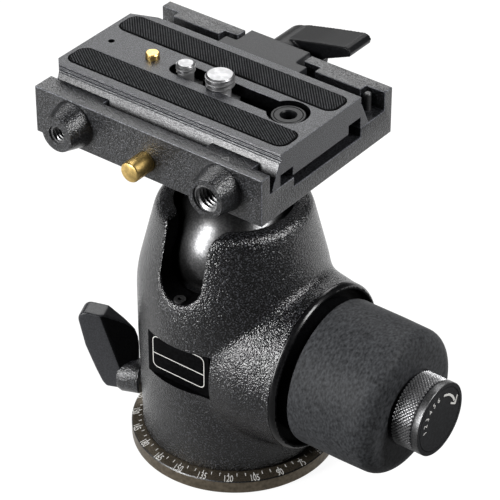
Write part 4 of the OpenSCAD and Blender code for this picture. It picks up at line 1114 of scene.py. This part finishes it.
class BALLHEAD_OT_stage(bpy.types.Operator):
    """Pale floor, soft lamps and the camera"""

    bl_idname = "ballhead.stage"
    bl_label = "Stage"

    def execute(self, context):
        # Sizes and places on the stage are in metres
        scene = context.scene
        deselect()
        bpy.ops.mesh.primitive_plane_add(size=6)
        floor = context.object
        floor.name = "floor"
        material, shader, coords = blank("floor_white", 0.9, 0.0)
        shader.inputs["Base Color"].default_value = (0.12, 0.12, 0.12, 1)
        shader.inputs["Emission Color"].default_value = (0.93, 0.93, 0.93, 1)
        facing = node(material, "ShaderNodeMapping", Vector=coords, Rotation=(0, 0, math.radians(52.1)))
        ahead = node(material, "ShaderNodeSeparateXYZ", Vector=facing.outputs["Vector"]).outputs["X"]
        fade = node(
            material, "ShaderNodeMapRange", Value=ahead,
            From_Min=-0.03, From_Max=0.07, To_Min=1.0, To_Max=0.03)
        rays = node(material, "ShaderNodeLightPath").outputs
        mirrored = maths(material, "MULTIPLY", rays["Is Glossy Ray"], fade.outputs["Result"])
        seen = maths(material, "MAXIMUM", rays["Is Camera Ray"], rays["Is Transmission Ray"])
        shown = maths(material, "MAXIMUM", seen, mirrored)
        material.node_tree.links.new(shown, shader.inputs["Emission Strength"])
        floor.data.materials.append(material)
        world = bpy.data.worlds.new("studio")
        scene.world = world
        world.use_nodes = True
        background = world.node_tree.nodes["Background"]
        background.inputs["Color"].default_value = (1, 1, 1, 1)
        background.inputs["Strength"].default_value = 0.04
        for name, spot, width, height, power in (
                ("back_lamp", (-0.5, 0.64, 0.72), 0.8, 0.6, 5.4),
                ("left_lamp", (-0.27, -0.68, 0.34), 0.17, 0.6, 8.5),
                ("right_lamp", (0.66, 0.2, 0.66), 0.26, 0.5, 7.0)):
            bpy.ops.object.light_add(type="AREA", location=spot)
            lamp = context.object
            lamp.name = name
            lamp.data.shape = "RECTANGLE"
            lamp.data.size = width
            lamp.data.size_y = height
            lamp.data.energy = power
            lamp.rotation_euler = (Vector((0, 0, 0.08)) - Vector(spot)).to_track_quat("-Z", "Y").to_euler()
        eye = Vector((0.43369, -0.55763, 0.56774))
        target = Vector((0.003977, 0.003048, 0.073851))
        bpy.ops.object.camera_add(location=eye)
        camera = context.object
        camera.name = "camera"
        camera.rotation_euler = (target - eye).to_track_quat("-Z", "Y").to_euler()
        camera.data.sensor_width = 36
        camera.data.lens = 190.27
        scene.camera = camera
        scene.view_settings.view_transform = "Standard"
        return {"FINISHED"}


OPERATORS = (
    BALLHEAD_OT_finishes,
    BALLHEAD_OT_base_ring,
    BALLHEAD_OT_housing,
    BALLHEAD_OT_label,
    BALLHEAD_OT_pan_lever,
    BALLHEAD_OT_ball,
    BALLHEAD_OT_lock_knob,
    BALLHEAD_OT_friction_knob,
    BALLHEAD_OT_adapter,
    BALLHEAD_OT_clamp,
    BALLHEAD_OT_safety_button,
    BALLHEAD_OT_slide_plate,
    BALLHEAD_OT_grips,
    BALLHEAD_OT_camera_screws,
    BALLHEAD_OT_inner_parts,
    BALLHEAD_OT_stage,
)


class BALLHEAD_PT_panel(bpy.types.Panel):
    """Lists the sizes, the colours and the operators"""

    bl_idname = "BALLHEAD_PT_panel"
    bl_label = "Ball head"
    bl_space_type = "VIEW_3D"
    bl_region_type = "UI"
    bl_category = "Ball head"

    def draw(self, context):
        column = self.layout.column()
        for group in (context.scene.ballhead_sizes, context.scene.ballhead_colours):
            for name in group.__annotations__:
                column.prop(group, name)
        for operator in OPERATORS:
            column.operator(operator.bl_idname)


CLASSES = (BallHeadSizes, BallHeadColours, *OPERATORS, BALLHEAD_PT_panel)


def register():
    for item in CLASSES:
        bpy.utils.register_class(item)
    bpy.types.Scene.ballhead_sizes = bpy.props.PointerProperty(type=BallHeadSizes)
    bpy.types.Scene.ballhead_colours = bpy.props.PointerProperty(type=BallHeadColours)


def unregister():
    del bpy.types.Scene.ballhead_colours
    del bpy.types.Scene.ballhead_sizes
    for item in reversed(CLASSES):
        bpy.utils.unregister_class(item)


def main():
    """Builds every piece and the stage."""
    register()
    bpy.ops.ballhead.finishes()
    bpy.ops.ballhead.base_ring()
    bpy.ops.ballhead.housing()
    bpy.ops.ballhead.label()
    bpy.ops.ballhead.pan_lever()
    bpy.ops.ballhead.ball()
    bpy.ops.ballhead.lock_knob()
    bpy.ops.ballhead.friction_knob()
    bpy.ops.ballhead.adapter()
    bpy.ops.ballhead.clamp()
    bpy.ops.ballhead.safety_button()
    bpy.ops.ballhead.slide_plate()
    bpy.ops.ballhead.grips()
    bpy.ops.ballhead.camera_screws()
    bpy.ops.ballhead.inner_parts()
    bpy.ops.ballhead.stage()


if __name__ == "__main__":
    main()
